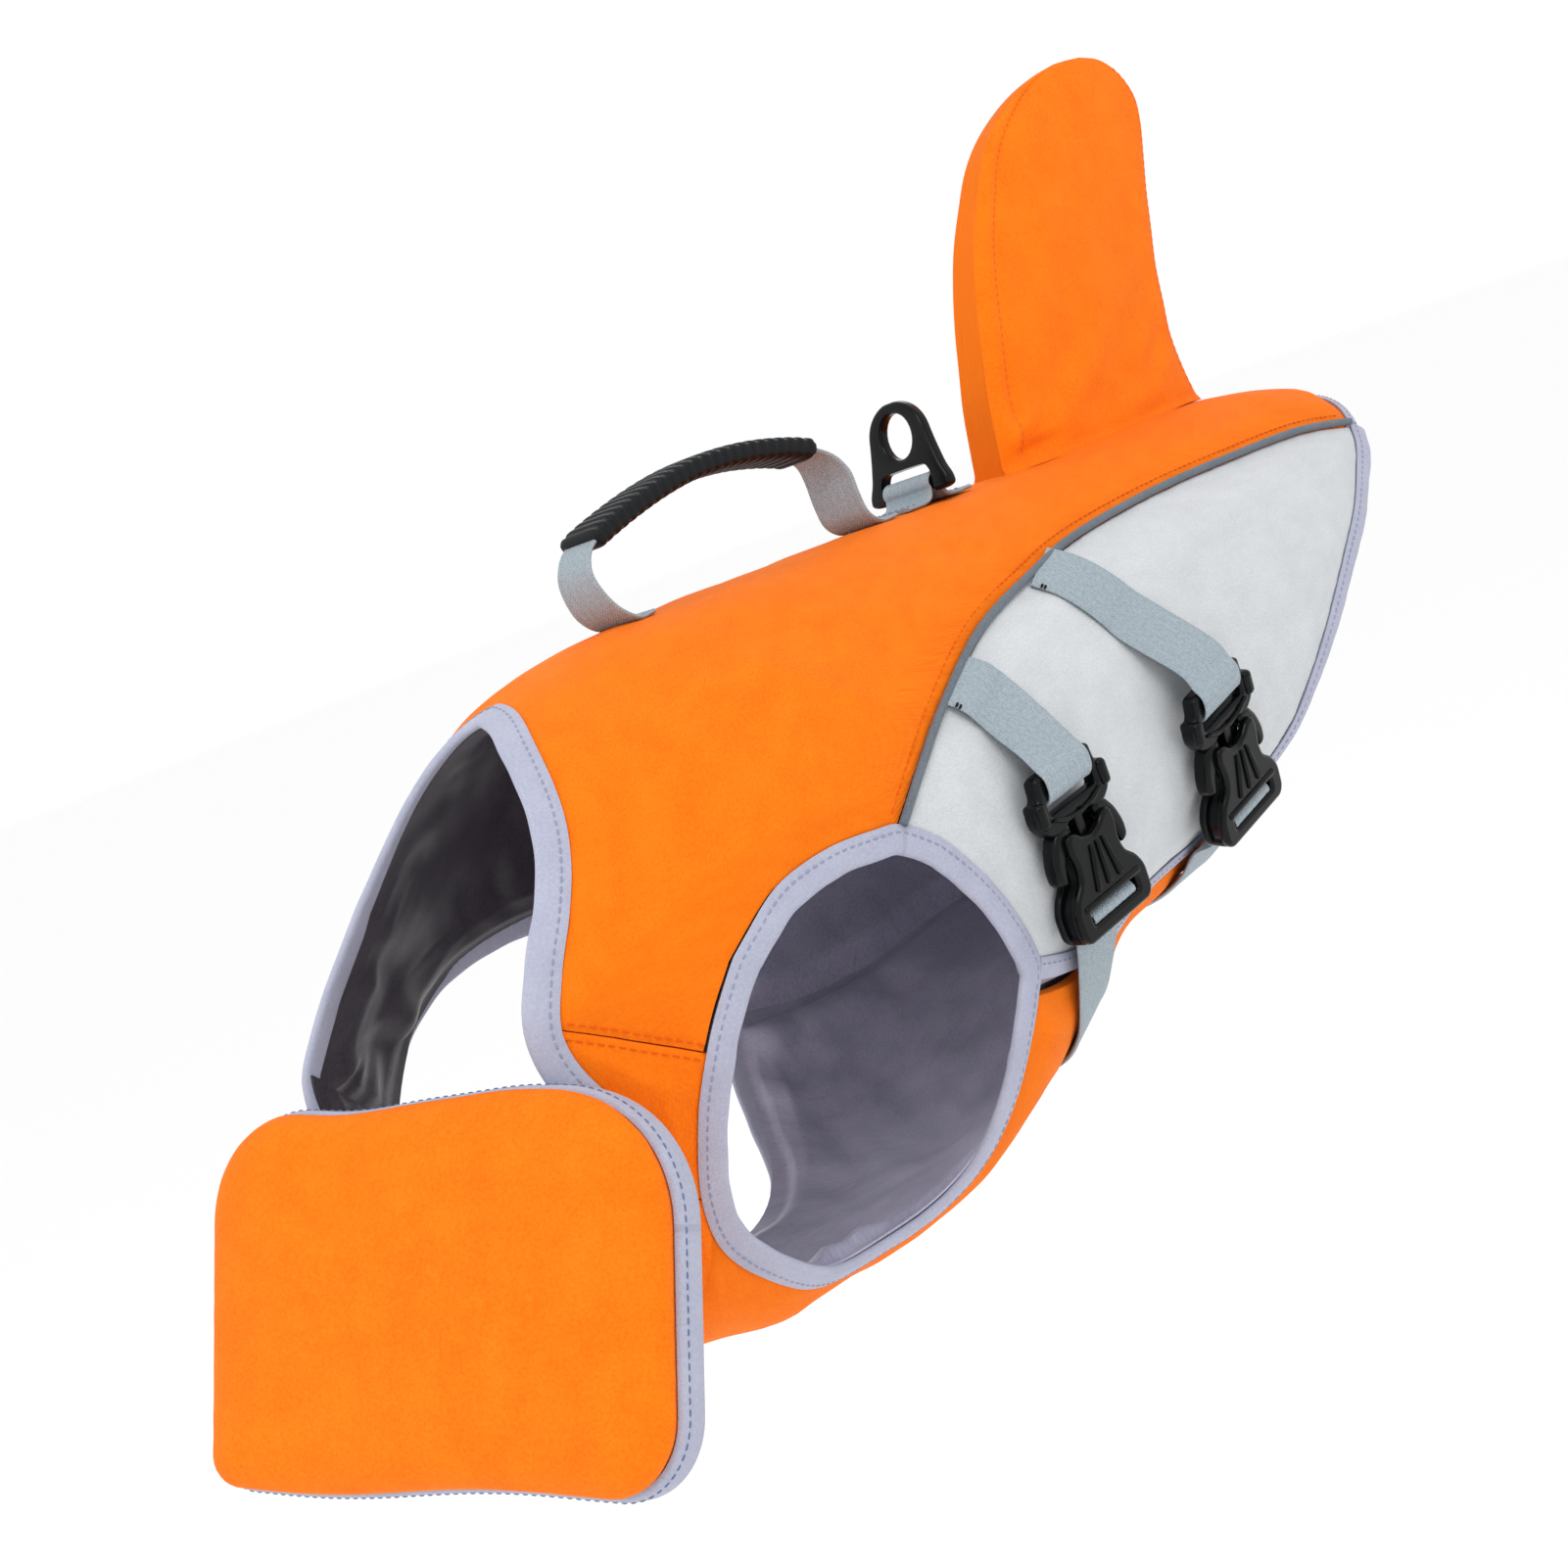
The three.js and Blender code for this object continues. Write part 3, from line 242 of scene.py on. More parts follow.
def patch(start, end, low, high):
    """Places inside four curves, for u from start to end and v from low to high."""
    one = np.ones(1)

    def places(u, v):
        across = between(low(u), high(u), v)
        along = between(start(v), end(v), u)
        near = between(start(0 * one)[0], start(one)[0], v)
        far = between(end(0 * one)[0], end(one)[0], v)
        return across + along - between(near, far, u)

    return places


def mirrored(place):
    return place * (1, -1)


def across_belly(place):
    return place * (1, -1) + (0, 360)


def cross_seam(t):
    neck_end = neck_place(np.array(float(STRAP_SEAM_NECK)))
    return between(blank(t, neck_end), blank(t, leg_hole(np.array(LEG_STRAP))), t)


def back_front(t):
    neck = neck_place(np.clip(t / 0.75, 0, 1) * STRAP_SEAM_NECK)
    return np.where((t <= 0.75)[..., None], neck, cross_seam(np.clip(t * 4 - 3, 0, 1)))


def back_flank(t):
    shoulder = leg_hole(np.clip(1 - 3 * t, 0, 1) * LEG_STRAP)
    return np.where((t <= 1 / 3)[..., None], shoulder, piped_seam(np.clip(1 - (3 * t - 1) / 2, 0, 1)))


SPINE_STEPS = {"share": (0, 1 / 3, 1), "station": (-203, -120, 227)}
half_back = patch(
    back_front,
    lambda t: spline(TAIL_EDGE, t),
    lambda t: np.stack([read(SPINE_STEPS, "share", "station", t), 0 * t], -1),
    back_flank,
)


def back_place(u, v):
    half = half_back(u, np.abs(2 * v - 1))
    return np.where((v < 0.5)[..., None], mirrored(half), half)


def ripple(points, size, depth, seed):
    """A gentle unevenness of the cloth, at most depth high, with waves about size long."""
    picker = np.random.default_rng(seed)
    height = np.zeros(points.shape[:-1])
    for _ in range(7):
        direction = unit(picker.normal(size=3)) * 2 * math.pi / (size * picker.uniform(0.7, 1.6))
        height += np.sin(points @ direction + picker.uniform(0, 6.3))
    return height * depth / 4


def creases(points, rows):
    """Height of the cloth's creases. Each row: a start and an end place, width and height in mm."""
    height = np.zeros(points.shape[:-1])
    for start, end, width, rise in rows:
        a = skin(np.array(start, float))
        b = skin(np.array(end, float))
        t = np.clip((points - a) @ (b - a) / ((b - a) @ (b - a)), 0, 1)
        off = np.linalg.norm(points - (a + t[..., None] * (b - a)), axis=-1)
        taper = np.sin(math.pi * np.clip(0.12 + 0.8 * t, 0, 1)) ** 0.7
        height += rise * taper * np.exp(-((off / width) ** 2))
    return height


def line_lengths(points):
    return np.concatenate([[0], np.cumsum(np.linalg.norm(np.diff(points, axis=0), axis=-1))])


def resampled(at, lengths, values):
    """Rows of values read at other lengths along their line."""
    return np.stack([np.interp(at, lengths, column) for column in values.T], -1)


def rim_distance(points, rim):
    """How far each point is from the rim, and how far round the rim its nearest place lies."""
    nearest = np.full(points.shape[:-1], 1e9)
    place = np.zeros(points.shape[:-1])
    for number, q in enumerate(rim):
        square = ((points - q) ** 2).sum(-1)
        place = np.where(square < nearest, number, place)
        nearest = np.minimum(nearest, square)
    return np.sqrt(nearest), place


def pick(*objects):
    """Selects only these objects and makes the first of them active."""
    bpy.ops.object.select_all(action="DESELECT")
    for obj in objects:
        obj.select_set(True)
    bpy.context.view_layer.objects.active = objects[0]


def cloth_mesh(name, points, faces, cloth, material):
    """A finished mesh from points in mm. The cloth attribute holds each point's place on the flat cloth."""
    mesh = bpy.data.meshes.new(name)
    mesh.from_pydata((points * MM).tolist(), [], faces)
    attribute = mesh.attributes.new("cloth", "FLOAT_VECTOR", "POINT")
    attribute.data.foreach_set("vector", (cloth * MM).astype(np.float32).ravel())
    obj = bpy.data.objects.new(name, mesh)
    bpy.context.scene.collection.objects.link(obj)
    mesh.materials.append(material)
    pick(obj)
    bpy.ops.object.mode_set(mode="EDIT")
    bpy.ops.mesh.select_all(action="SELECT")
    bpy.ops.mesh.normals_make_consistent(inside=False)
    bpy.ops.object.mode_set(mode="OBJECT")
    bpy.ops.object.shade_smooth_by_angle(angle=math.radians(50))
    return obj


def grid_faces(rows, columns, offset=0):
    i, j = np.meshgrid(np.arange(rows), np.arange(columns), indexing="ij")
    a = offset + i * (columns + 1) + j
    return np.stack([a, a + columns + 1, a + columns + 2, a + 1], -1).reshape(-1, 4).tolist()


def wall_mesh(name, outer, inner, cloth, material):
    """A closed wall between two like grids of points."""
    rows, columns = outer.shape[0] - 1, outer.shape[1] - 1
    size = (rows + 1) * (columns + 1)
    rim = [i * (columns + 1) for i in range(rows + 1)]
    rim += [rows * (columns + 1) + j for j in range(1, columns + 1)]
    rim += [i * (columns + 1) + columns for i in range(rows - 1, -1, -1)]
    rim += [j for j in range(columns - 1, 0, -1)]
    faces = grid_faces(rows, columns) + [f[::-1] for f in grid_faces(rows, columns, size)]
    for a, b in zip(rim, rim[1:] + rim[:1]):
        faces.append([a, b, b + size, a + size])
    points = np.concatenate([outer.reshape(-1, 3), inner.reshape(-1, 3)])
    both = np.concatenate([cloth.reshape(-1, 3), cloth.reshape(-1, 3)])
    return cloth_mesh(name, points, faces, both, material)


def flat_lengths(points):
    """Each grid point's place on the flat cloth, from lengths along and across the grid."""
    along = np.linalg.norm(np.diff(points, axis=0), axis=-1)
    across = np.linalg.norm(np.diff(points, axis=1), axis=-1)
    u = np.concatenate([np.zeros((1, points.shape[1])), np.cumsum(along, 0)])
    v = np.concatenate([np.zeros((points.shape[0], 1)), np.cumsum(across, 1)], 1)
    return np.stack([u, v, 0 * u], -1)


def panel_grid(places, rows, columns, margins):
    """Places of a panel that stops its margins short of its seams, with its body points and normals."""
    u, v = np.meshgrid(np.linspace(0, 1, rows + 1), np.linspace(0, 1, columns + 1), indexing="ij")
    body = skin(places(u, v))
    long = np.maximum(np.linalg.norm(np.diff(body, axis=0), axis=-1).sum(0)[None, :], 4)
    wide = np.maximum(np.linalg.norm(np.diff(body, axis=1), axis=-1).sum(1)[:, None], 4)
    start, end = margins["start"] / long, margins["end"] / long
    low, high = np.minimum(margins["low"] / wide, 0.4), np.minimum(margins["high"] / wide, 0.4)
    place = places(start + u * (1 - start - end), low + v * (1 - low - high))
    rim = np.concatenate([body[0], body[:, -1], body[-1][::-1], body[:, 0][::-1]])
    lengths = line_lengths(rim)
    rim = resampled(np.arange(0, lengths[-1], 1.0), lengths, rim)
    return place, skin(place), skin_normal(place), *rim_distance(skin(place), rim)


def padded_panel(name, places, cells, margins, material, crease_rows, seed, puff=0.7):
    """A foam panel with sewn-down edges, a soft roll at the seams, creases and an uneven face."""
    rows, columns = cells
    place, body, normal, reach, _ = panel_grid(places, rows, columns, margins)
    t = np.clip(reach / PINCH_REACH, 0, 1)
    sink = PINCH * (1 - t * t * (3 - 2 * t)) + 0.7 * np.clip(1 - reach / 2.2, 0, 1) ** 2
    free = np.clip(reach / 12, 0, 1)
    lift = puff * free + ripple(body, 60, 0.7, seed) * free + ripple(body, 22, 0.25, seed + 1) * free
    # Small puckers along the seams, where the thread draws the cloth together.
    pucker = ripple(body, 9, 0.28, seed + 2) * np.exp(-(((reach - 4) / 4) ** 2))
    lift = lift + pucker + 1.2 * creases(body, crease_rows) * np.clip(reach / 5, 0, 1)
    outer = body + normal * (lift - sink)[..., None]
    return wall_mesh(name, outer, body - normal * FOAM, flat_lengths(body), material)


def finish_piece(obj, nodes=(), body="jacket"):
    """Hides the solids that a piece stands for, and ties the piece to its body."""
    if nodes:
        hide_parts(*nodes)
    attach(obj, body)
    return obj


def weave_tree(name):
    """An empty shader node group that turns a place on the cloth into the weave's height and a colour tone,
    which for the webbing also holds painted shade on its ribs.
    """
    tree = bpy.data.node_groups.new(name, "ShaderNodeTree")
    tree.interface.new_socket("Vector", in_out="INPUT", socket_type="NodeSocketVector")
    for output in ("Height", "Tone"):
        tree.interface.new_socket(output, in_out="OUTPUT", socket_type="NodeSocketFloat")
    place = tree.nodes.new("NodeGroupInput").outputs["Vector"]
    split = tree.nodes.new("ShaderNodeSeparateXYZ")
    tree.links.new(place, split.inputs[0])
    return tree, place, split.outputs["X"], split.outputs["Y"]


def math_node(tree, kind, a, b=None):
    """The outcome of one sum in a shader, of sockets or plain numbers."""
    node = tree.nodes.new("ShaderNodeMath")
    node.operation = kind
    for socket, value in ((0, a), (1, b)):
        if value is None:
            continue
        if isinstance(value, (int, float)):
            node.inputs[socket].default_value = value
        else:
            tree.links.new(value, node.inputs[socket])
    return node.outputs[0]


def wave(tree, value, pitch):
    return math_node(tree, "SINE", math_node(tree, "MULTIPLY", value, 2 * math.pi / pitch))


def noise_node(tree, place, scale, detail=2, roughness=0.5):
    noise = tree.nodes.new("ShaderNodeTexNoise")
    for name, value in (("Scale", scale), ("Detail", detail), ("Roughness", roughness)):
        noise.inputs[name].default_value = value
    tree.links.new(place, noise.inputs["Vector"])
    return noise.outputs["Fac"]


def finish_weave(tree, height, tone):
    given = tree.nodes.new("NodeGroupOutput")
    tree.links.new(height, given.inputs["Height"])
    tree.links.new(tone, given.inputs["Tone"])
    return tree


def weave_group(name, pitch):
    """Plain weave of that thread pitch: a height of crossing threads and a soft mottle of the yarn."""
    tree, place, warp_way, weft_way = weave_tree(name)
    warp = wave(tree, warp_way, 2 * pitch)
    weft = wave(tree, weft_way, 2 * pitch)
    crossing = math_node(tree, "ABSOLUTE", math_node(tree, "ADD", warp, weft))
    yarn = noise_node(tree, place, 900, 3)
    height = math_node(tree, "ADD", math_node(tree, "MULTIPLY", crossing, 0.5), yarn)
    broad = noise_node(tree, place, 55, 6, 0.7)
    fine = math_node(tree, "MULTIPLY", yarn, 0.5)
    return finish_weave(tree, height, math_node(tree, "ADD", math_node(tree, "MULTIPLY", broad, 0.5), fine))


oxford = weave_group("oxford_weave", 0.00055)


def raise_relief(tree, shader, height, strength, relief):
    bump = tree.nodes.new("ShaderNodeBump")
    bump.inputs["Strength"].default_value = strength
    bump.inputs["Distance"].default_value = relief
    tree.links.new(height, bump.inputs["Height"])
    tree.links.new(bump.outputs["Normal"], shader.inputs["Normal"])


def cloth_material(name, dark, light, roughness, group, relief, sheen=0.15, strength=0.5, specular=0.12,
                   sheen_roughness=0.5, shade_ends=(0.36, 0.62)):
    """Woven cloth between two shades, with its weave raised by relief metres."""
    material, shader = plain_material(name, light, roughness, specular)
    shader.inputs["Sheen Weight"].default_value = sheen
    shader.inputs["Sheen Roughness"].default_value = sheen_roughness
    tree = material.node_tree
    cloth = tree.nodes.new("ShaderNodeAttribute")
    cloth.attribute_name = "cloth"
    weave = tree.nodes.new("ShaderNodeGroup")
    weave.node_tree = group
    tree.links.new(cloth.outputs["Vector"], weave.inputs["Vector"])
    shades = tree.nodes.new("ShaderNodeValToRGB")
    for stop, share, colour in zip(shades.color_ramp.elements, shade_ends, (dark, light)):
        stop.position = share
        stop.color = (*colour, 1)
    tree.links.new(weave.outputs["Tone"], shades.inputs["Fac"])
    tree.links.new(shades.outputs["Color"], shader.inputs["Base Color"])
    raise_relief(tree, shader, weave.outputs["Height"], strength, relief)
    return material


orange = cloth_material("orange_oxford", (0.84, 0.148, 0.001), (0.93, 0.2, 0.004), 0.8, oxford, 0.00022, 0.02)

BACK_CREASES = (  # start and end as station and angle, width and rise
    ((-150, 40), (-120, 66), 7, 0.9),
    ((-185, 30), (-160, 62), 8, -0.7),
    ((-110, 34), (-70, 50), 6, 0.7),
    ((-60, 26), (-20, 44), 6, -0.6),
    ((-225, 66), (-205, 78), 5, 0.8),
    ((-235, 76), (-222, 88), 4, -0.7),
    ((40, 16), (60, 38), 6, -0.5),
    ((150, 14), (185, 34), 7, 0.6),
    ((-150, -36), (-118, -64), 7, 0.8),
    ((-190, -30), (-165, -60), 8, -0.7),
    ((-70, -24), (-30, -46), 6, 0.6),
    ((-228, -64), (-208, -80), 5, -0.8),
    ((60, -14), (90, -36), 7, 0.5),
    ((160, -16), (190, -36), 6, -0.5),
)
bound_and_piped = {"start": BOUND, "end": BOUND, "low": PIPED, "high": PIPED}
back = padded_panel("back_cloth", back_place, (150, 168), bound_and_piped, orange, BACK_CREASES, 3)
finish_piece(back, ["back_panel"])


# Strap ends. Each shoulder goes on below its cross seam as a short padded strap that meets the chest
# panel. It is the same orange cloth over foam, sewn to the shoulder with two rows of stitches.
def strap_place(sign):
    def places(u, v):
        front = neck_place(STRAP_SEAM_NECK + (CHEST_SEAM_NECK - STRAP_SEAM_NECK) * u)
        return between(front, leg_hole(LEG_STRAP + (LEG_CHEST - LEG_STRAP) * u), v) * (1, sign)

    return places


all_bound = {"start": BOUND, "end": BOUND, "low": BOUND, "high": BOUND}
for side, sign in SIDES:
    rows = (
        ((-262, 100 * sign), (-250, 104 * sign), 4, -0.6),
        ((-258, 112 * sign), (-252, 120 * sign), 4, 0.5),
    )
    strap_end = padded_panel(
        f"strap_end_cloth_{side}", strap_place(sign), (34, 34), all_bound, orange, rows, 11, 0.3
    )
    finish_piece(strap_end, [f"strap_end_{side}"])


# Side panels. They are a pale grey oxford cloth over the same foam, between the piping and the hem,
# from the leg hole to a point at the tail. The cloth drapes in shallow folds below the buckles.
HEM_EDGE = (
    (197, 62), (189, 68), (166, 82), (135, 97), (107, 112), (83, 126), (44, 137), (-10, 135), (-55, 124),
    (-92, 115),
)


def tip_edge(t):
    return between(blank(t, PIPED_SEAM[0]), blank(t, HEM_EDGE[0]), t)


def side_place(sign):
    places = patch(
        lambda t: leg_hole(1 + (LEG_HEM - 1) * t),
        tip_edge,
        lambda t: piped_seam(1 - t),
        lambda t: spline(HEM_EDGE, 1 - t),
    )
    return lambda u, v: places(u, v) * (1, sign)


grey = cloth_material("grey_oxford", (0.52, 0.54, 0.56), (0.61, 0.63, 0.65), 0.75, oxford, 0.00016)
SIDE_CREASES = (
    ((-96, 80), (-78, 112), 6, 0.9),
    ((-50, 92), (-30, 122), 7, -0.9),
    ((-20, 74), (-4, 118), 6, 0.8),
    ((-8, 96), (6, 128), 6, -0.8),
    ((60, 60), (80, 112), 9, 0.7),
    ((66, 100), (76, 126), 6, -0.7),
    ((110, 58), (140, 84), 9, -0.6),
    ((-110, 92), (-96, 106), 4, -0.7),
)
leg_to_tip = {"start": BOUND, "end": BOUND, "low": PIPED, "high": BOUND}
for side, sign in SIDES:
    shift = 0 if side == "left" else 9
    rows = [((a + shift, b * sign), (c + shift, d * sign), w, h) for (a, b), (c, d), w, h in SIDE_CREASES]
    panel = padded_panel(
        f"side_cloth_{side}", side_place(sign), (132, 66), leg_to_tip, grey, rows, 21 + shift, 0.6
    )
    finish_piece(panel, [f"side_panel_{side}"])


# Belly panel. One orange foam panel from the chest between the leg holes to the belly, below the side
# panels' hems. It is drawn round the body by the two straps.
BELLY_HEM = ((-95, 120.5), (-58, 129.5), (-12, 141), (30, 144), (72, 138))
BELLY_REAR = 82
BELLY_CROSS = 3 / 17  # shares of its flank: the cross seam, the leg hole, then the hem
BELLY_CHEST = 11 / 17


def belly_flank(t):
    seam = between(
        blank(t, neck_place(np.array(float(CHEST_SEAM_NECK)))),
        blank(t, leg_hole(np.array(LEG_CHEST))),
        np.clip(t / BELLY_CROSS, 0, 1),
    )
    chest_share = np.clip((t - BELLY_CROSS) / (BELLY_CHEST - BELLY_CROSS), 0, 1)
    chest = leg_hole(LEG_CHEST + (LEG_BELLY - LEG_CHEST) * chest_share)
    hem = spline(BELLY_HEM, np.clip((t - BELLY_CHEST) / (1 - BELLY_CHEST), 0, 1))
    lower = np.where((t <= BELLY_CHEST)[..., None], chest, hem)
    return np.where((t <= BELLY_CROSS)[..., None], seam, lower)


def belly_rear(t):
    station = BELLY_HEM[-1][0] + (BELLY_REAR - BELLY_HEM[-1][0]) * np.sin(t * math.pi)
    angle = BELLY_HEM[-1][1] + (360 - 2 * BELLY_HEM[-1][1]) * t
    return np.stack([station, angle], -1)


belly_place = patch(
    lambda t: neck_place(CHEST_SEAM_NECK + (360 - 2 * CHEST_SEAM_NECK) * t),
    belly_rear,
    belly_flank,
    lambda t: across_belly(belly_flank(t)),
)
BELLY_CREASES = (
    ((-90, 130), (-60, 160), 6, 0.8),
    ((-30, 150), (-20, 200), 7, -0.7),
    ((-200, 165), (-190, 195), 8, 0.8),
    ((-120, 165), (-100, 200), 8, -0.8),
    ((20, 160), (30, 210), 7, 0.6),
)
belly = padded_panel("belly_cloth", belly_place, (119, 110), all_bound, orange, BELLY_CREASES, 31)
finish_piece(belly, ["belly_panel"])


# Linings. A smooth satin-like cloth is sewn in behind each panel at its edges only. It is one cloth, given
# in two copies: a purple-grey one at the sides and belly, lightened by painted sheen, and a nearly black one
# under the back and shoulders, darkened by painted shade. It hangs in soft folds that start at the leg holes
# and at the neck.
SATIN = {"specular": 0.45, "sheen_roughness": 0.35, "shade_ends": (0.38, 0.6)}
# The purple-grey copy of the lining: its colour is lightened by painted sheen.
sheen_painted_lining = cloth_material(
    "purple_grey_lining_painted_sheen", (0.30, 0.295, 0.41), (0.42, 0.415, 0.54), 0.42, oxford, 0.0001, 0.3, 0.25, **SATIN
)
# The nearly black copy of the lining: its colour is darkened by painted shade.
shade_painted_lining = cloth_material(
    "dark_lining_painted_shade", (0.020, 0.015, 0.022), (0.040, 0.032, 0.042), 0.42, oxford, 0.0001, 0.1, 0.25, **SATIN
)
OVER_TAPE = 9.3  # how far a lining passes its seam where it lies on a tape, and under another lining
UNDER_LINING = 6
FOLD_PITCH = 15  # the gathered folds at the rims, and how far in they run
FOLD_REACH = 42


def hanging_lining(name, places, cells, margins, material, reaches, seed, slack, gather):
    """A thin lining behind a panel. It reaches that far past its seams, lies over the tapes' inner leaves,
    and is gathered at its rim, so that folds run in from there and fade out."""
    rows, columns = cells
    place, body, normal, reach, round_rim = panel_grid(places, rows, columns, margins)
    down = unit(np.gradient(body, axis=0))
    over = unit(np.gradient(body, axis=1))
    flat = flat_lengths(body)
    lengths_u, lengths_v = flat[..., 0], flat[..., 1]
    shift = np.zeros(body.shape)
    passed = np.zeros(reach.shape)
    for sides, way, distance in (
        ("start", -down, lengths_u),
        ("end", down, lengths_u[-1:] - lengths_u),
        ("low", -over, lengths_v),
        ("high", over, lengths_v[:, -1:] - lengths_v),
    ):
        extra = reaches.get(sides, 0)
        if callable(extra):
            extra = extra(place)
        pull = extra * np.clip(1 - distance / 24, 0, 1) ** 2
        shift += way * pull[..., None]
        passed = np.maximum(passed, pull - distance)
    run = round_rim + 5 * np.sin(round_rim / 17) + 3 * np.sin(round_rim / 7.3 + seed)
    pleat = (0.5 + 0.5 * np.sin(2 * math.pi * run / FOLD_PITCH)) ** 2 * (0.6 + 0.4 * np.sin(run / 31))
    gathered = gather * pleat * np.clip(1 - reach / FOLD_REACH, 0, 1) ** 1.5
    for _ in range(3):  # the folds that meet run softly into each other
        gathered[1:-1] = (gathered[:-2] + 2 * gathered[1:-1] + gathered[2:]) / 4
        gathered[:, 1:-1] = (gathered[:, :-2] + 2 * gathered[:, 1:-1] + gathered[:, 2:]) / 4
    folds = slack + ripple(body, 48, slack, seed) + ripple(body, 21, slack * 0.4, seed + 1)
    depth = np.maximum(folds + gathered, 0) * np.clip(reach / 8, 0, 1) * np.clip(1 - passed / 2, 0, 1)
    thin_rim = 1.5 * np.clip(passed / 9, 0, 1)
    outer = body + shift - normal * (LINING_TOP - thin_rim + depth * 0.9)[..., None]
    inner = body + shift - normal * (LINING_BASE - 0.9 - thin_rim + depth)[..., None]
    return wall_mesh(name, outer, inner, flat, material)


def at_leg_hole(place):
    """How far a lining passes its flank: over the tape at the leg hole, and nothing at the piping."""
    return OVER_TAPE * np.clip((-142 - place[..., 0]) / 8, 0, 1)


back_lining = hanging_lining(
    "back_lining_cloth", back_place, (110, 140), bound_and_piped, shade_painted_lining,
    {"start": OVER_TAPE, "low": at_leg_hole, "high": at_leg_hole}, seed=41, slack=2.2, gather=9.9,
)
finish_piece(back_lining, ["back_lining"])


def declare_sheet(obj):
    """Works out a thin piece's cut from its own mesh, half of its surface on a rectangle that holds it, and
    keeps none of it.
    """
    mesh = obj.data
    points = np.zeros(len(mesh.vertices) * 3, np.float32)
    mesh.attributes["cloth"].data.foreach_get("vector", points)
    points = points.reshape(-1, 3)
    width, length = np.ptp(points[:, 1]), np.ptp(points[:, 0])
    area = sum(p.area for p in mesh.polygons) / 2
    area = min(max(area, 0.31 * width * length), width * length)


declare_sheet(back_lining)

for side, sign in SIDES:
    lining = hanging_lining(
        f"side_lining_cloth_{side}", side_place(sign), (100, 60), leg_to_tip, sheen_painted_lining,
        {"start": OVER_TAPE, "high": UNDER_LINING}, seed=45, slack=2.0, gather=15.4,
    )
    finish_piece(lining, [f"side_lining_{side}"])
    declare_sheet(lining)
    lining = hanging_lining(
        f"strap_lining_cloth_{side}", strap_place(sign), (26, 36), all_bound, shade_painted_lining,
        {"low": OVER_TAPE, "high": OVER_TAPE}, seed=47, slack=1.8, gather=5.72,
    )
    finish_piece(lining, [f"strap_lining_{side}"])
    declare_sheet(lining)


def past_belly_flank(place):
    """How far the belly's lining passes its flank: over the leg hole's tape, and under the side's hem."""
    return OVER_TAPE * np.clip((place[..., 0] + 252) / 6, 0, 1)


belly_lining = hanging_lining(
    "belly_lining_cloth", belly_place, (110, 110), all_bound, sheen_painted_lining,
    {"start": OVER_TAPE, "end": UNDER_LINING, "low": past_belly_flank, "high": past_belly_flank},
    seed=51, slack=2.0, gather=15.4,
)
finish_piece(belly_lining, ["belly_lining"])
declare_sheet(belly_lining)


# Bindings. A lavender-grey tape is folded over each open edge and sewn through with one row of thread
# near its inner edge. It is wide at the neck and leg holes, and turned narrower at the hems and tail.
TAPE_WIDTH = 10
HEM_TAPE_WIDTH = 7
TAIL_TAPE_WIDTH = 4
TAPE_TOP = 0.8 - PINCH  # it stands a little proud of the sunken seam


def seam_frames(places, closed=False):
    """For a row of places: their points, their normals and the directions across the seam."""
    points = skin(places)
    normal = skin_normal(places)
    if closed:
        along = np.roll(points, -1, 0) - np.roll(points, 1, 0)
    else:
        along = np.gradient(points, axis=0)
    return points, normal, unit(np.cross(normal, unit(along)))


def ring_faces(rings, sides, closed=False):
    """Faces between rings of that many points, and over the two ends unless the rings close."""
    faces = []
    for i in range(rings if closed else rings - 1):
        j = (i + 1) % rings
        for k in range(sides):
            m = (k + 1) % sides
            faces.append([i * sides + k, i * sides + m, j * sides + m, j * sides + k])
    if not closed:
        faces.append(list(range(sides))[::-1])
        faces.append([(rings - 1) * sides + k for k in range(sides)])
    return faces


def swept(name, frames, section, material, closed=False):
    """A section, as pairs of width and height for each frame, swept along frames."""
    points, normal, across = frames
    section = np.asarray(section, float)
    if section.ndim == 2:
        section = np.broadcast_to(section, (len(points),) + section.shape)
    rings = points[:, None] + across[:, None] * section[..., :1] + normal[:, None] * section[..., 1:]
    count, sides = rings.shape[:2]
    girth = line_lengths(np.vstack([section[0], section[0][:1]]))[:-1]
    cloth = np.zeros(rings.shape)
    cloth[..., 0] = line_lengths(points)[:, None]
    cloth[..., 1] = girth[None, :]
    faces = ring_faces(count, sides, closed)
    return cloth_mesh(name, rings.reshape(-1, 3), faces, cloth.reshape(-1, 3), material)


def tape_section(width, count, seed):
    """The folded tape's section at each frame, a little uneven in width and thickness."""
    shape = np.array([
        (-0.1, -0.75), (-0.13, -0.2), (-0.04, 0.1), (0.1, 0.24), (0.3, 0.3), (0.6, 0.2), (0.84, -0.15),
        (0.95, -0.6), (1, -1.3), (1, -2.2), (0.95, -2.9), (0.84, -3.3), (0.55, -3.9), (0.2, -4.5), (0, -4.6),
        (0, -1.2),
    ])
    t = np.linspace(0, 2 * math.pi, count)
    picker = np.random.default_rng(seed)
    sway = sum(np.sin(t * k + picker.uniform(0, 6)) for k in (3, 7, 13, 29)) / 4
    wide = SEAM_GAP / 2 + shape[None, :, 0] * (width + 0.35 * sway[:, None])
    high = TAPE_TOP + shape[None, :, 1] + 0 * wide
    high[:, 3:6] += 0.18 * sway[::-1][:, None]
    return np.stack([wide, high], -1)


ribbed = weave_group("ribbed_weave", 0.00045)
tape_cloth = cloth_material("lavender_tape", (0.36, 0.375, 0.48), (0.44, 0.455, 0.565), 0.7, ribbed, 0.0002)


def binding(name, node, places, width, turn, closed, seed):
    """Makes one tape and returns the frames of its seam, with across pointing over the tape."""
    points, normal, across = seam_frames(places, closed)
    section = tape_section(width, len(points), seed)
    obj = swept(name, (points, normal, across * turn), section, tape_cloth, closed)
    finish_piece(obj, [node])
    declare_sheet(obj)
    return points, normal, across * turn


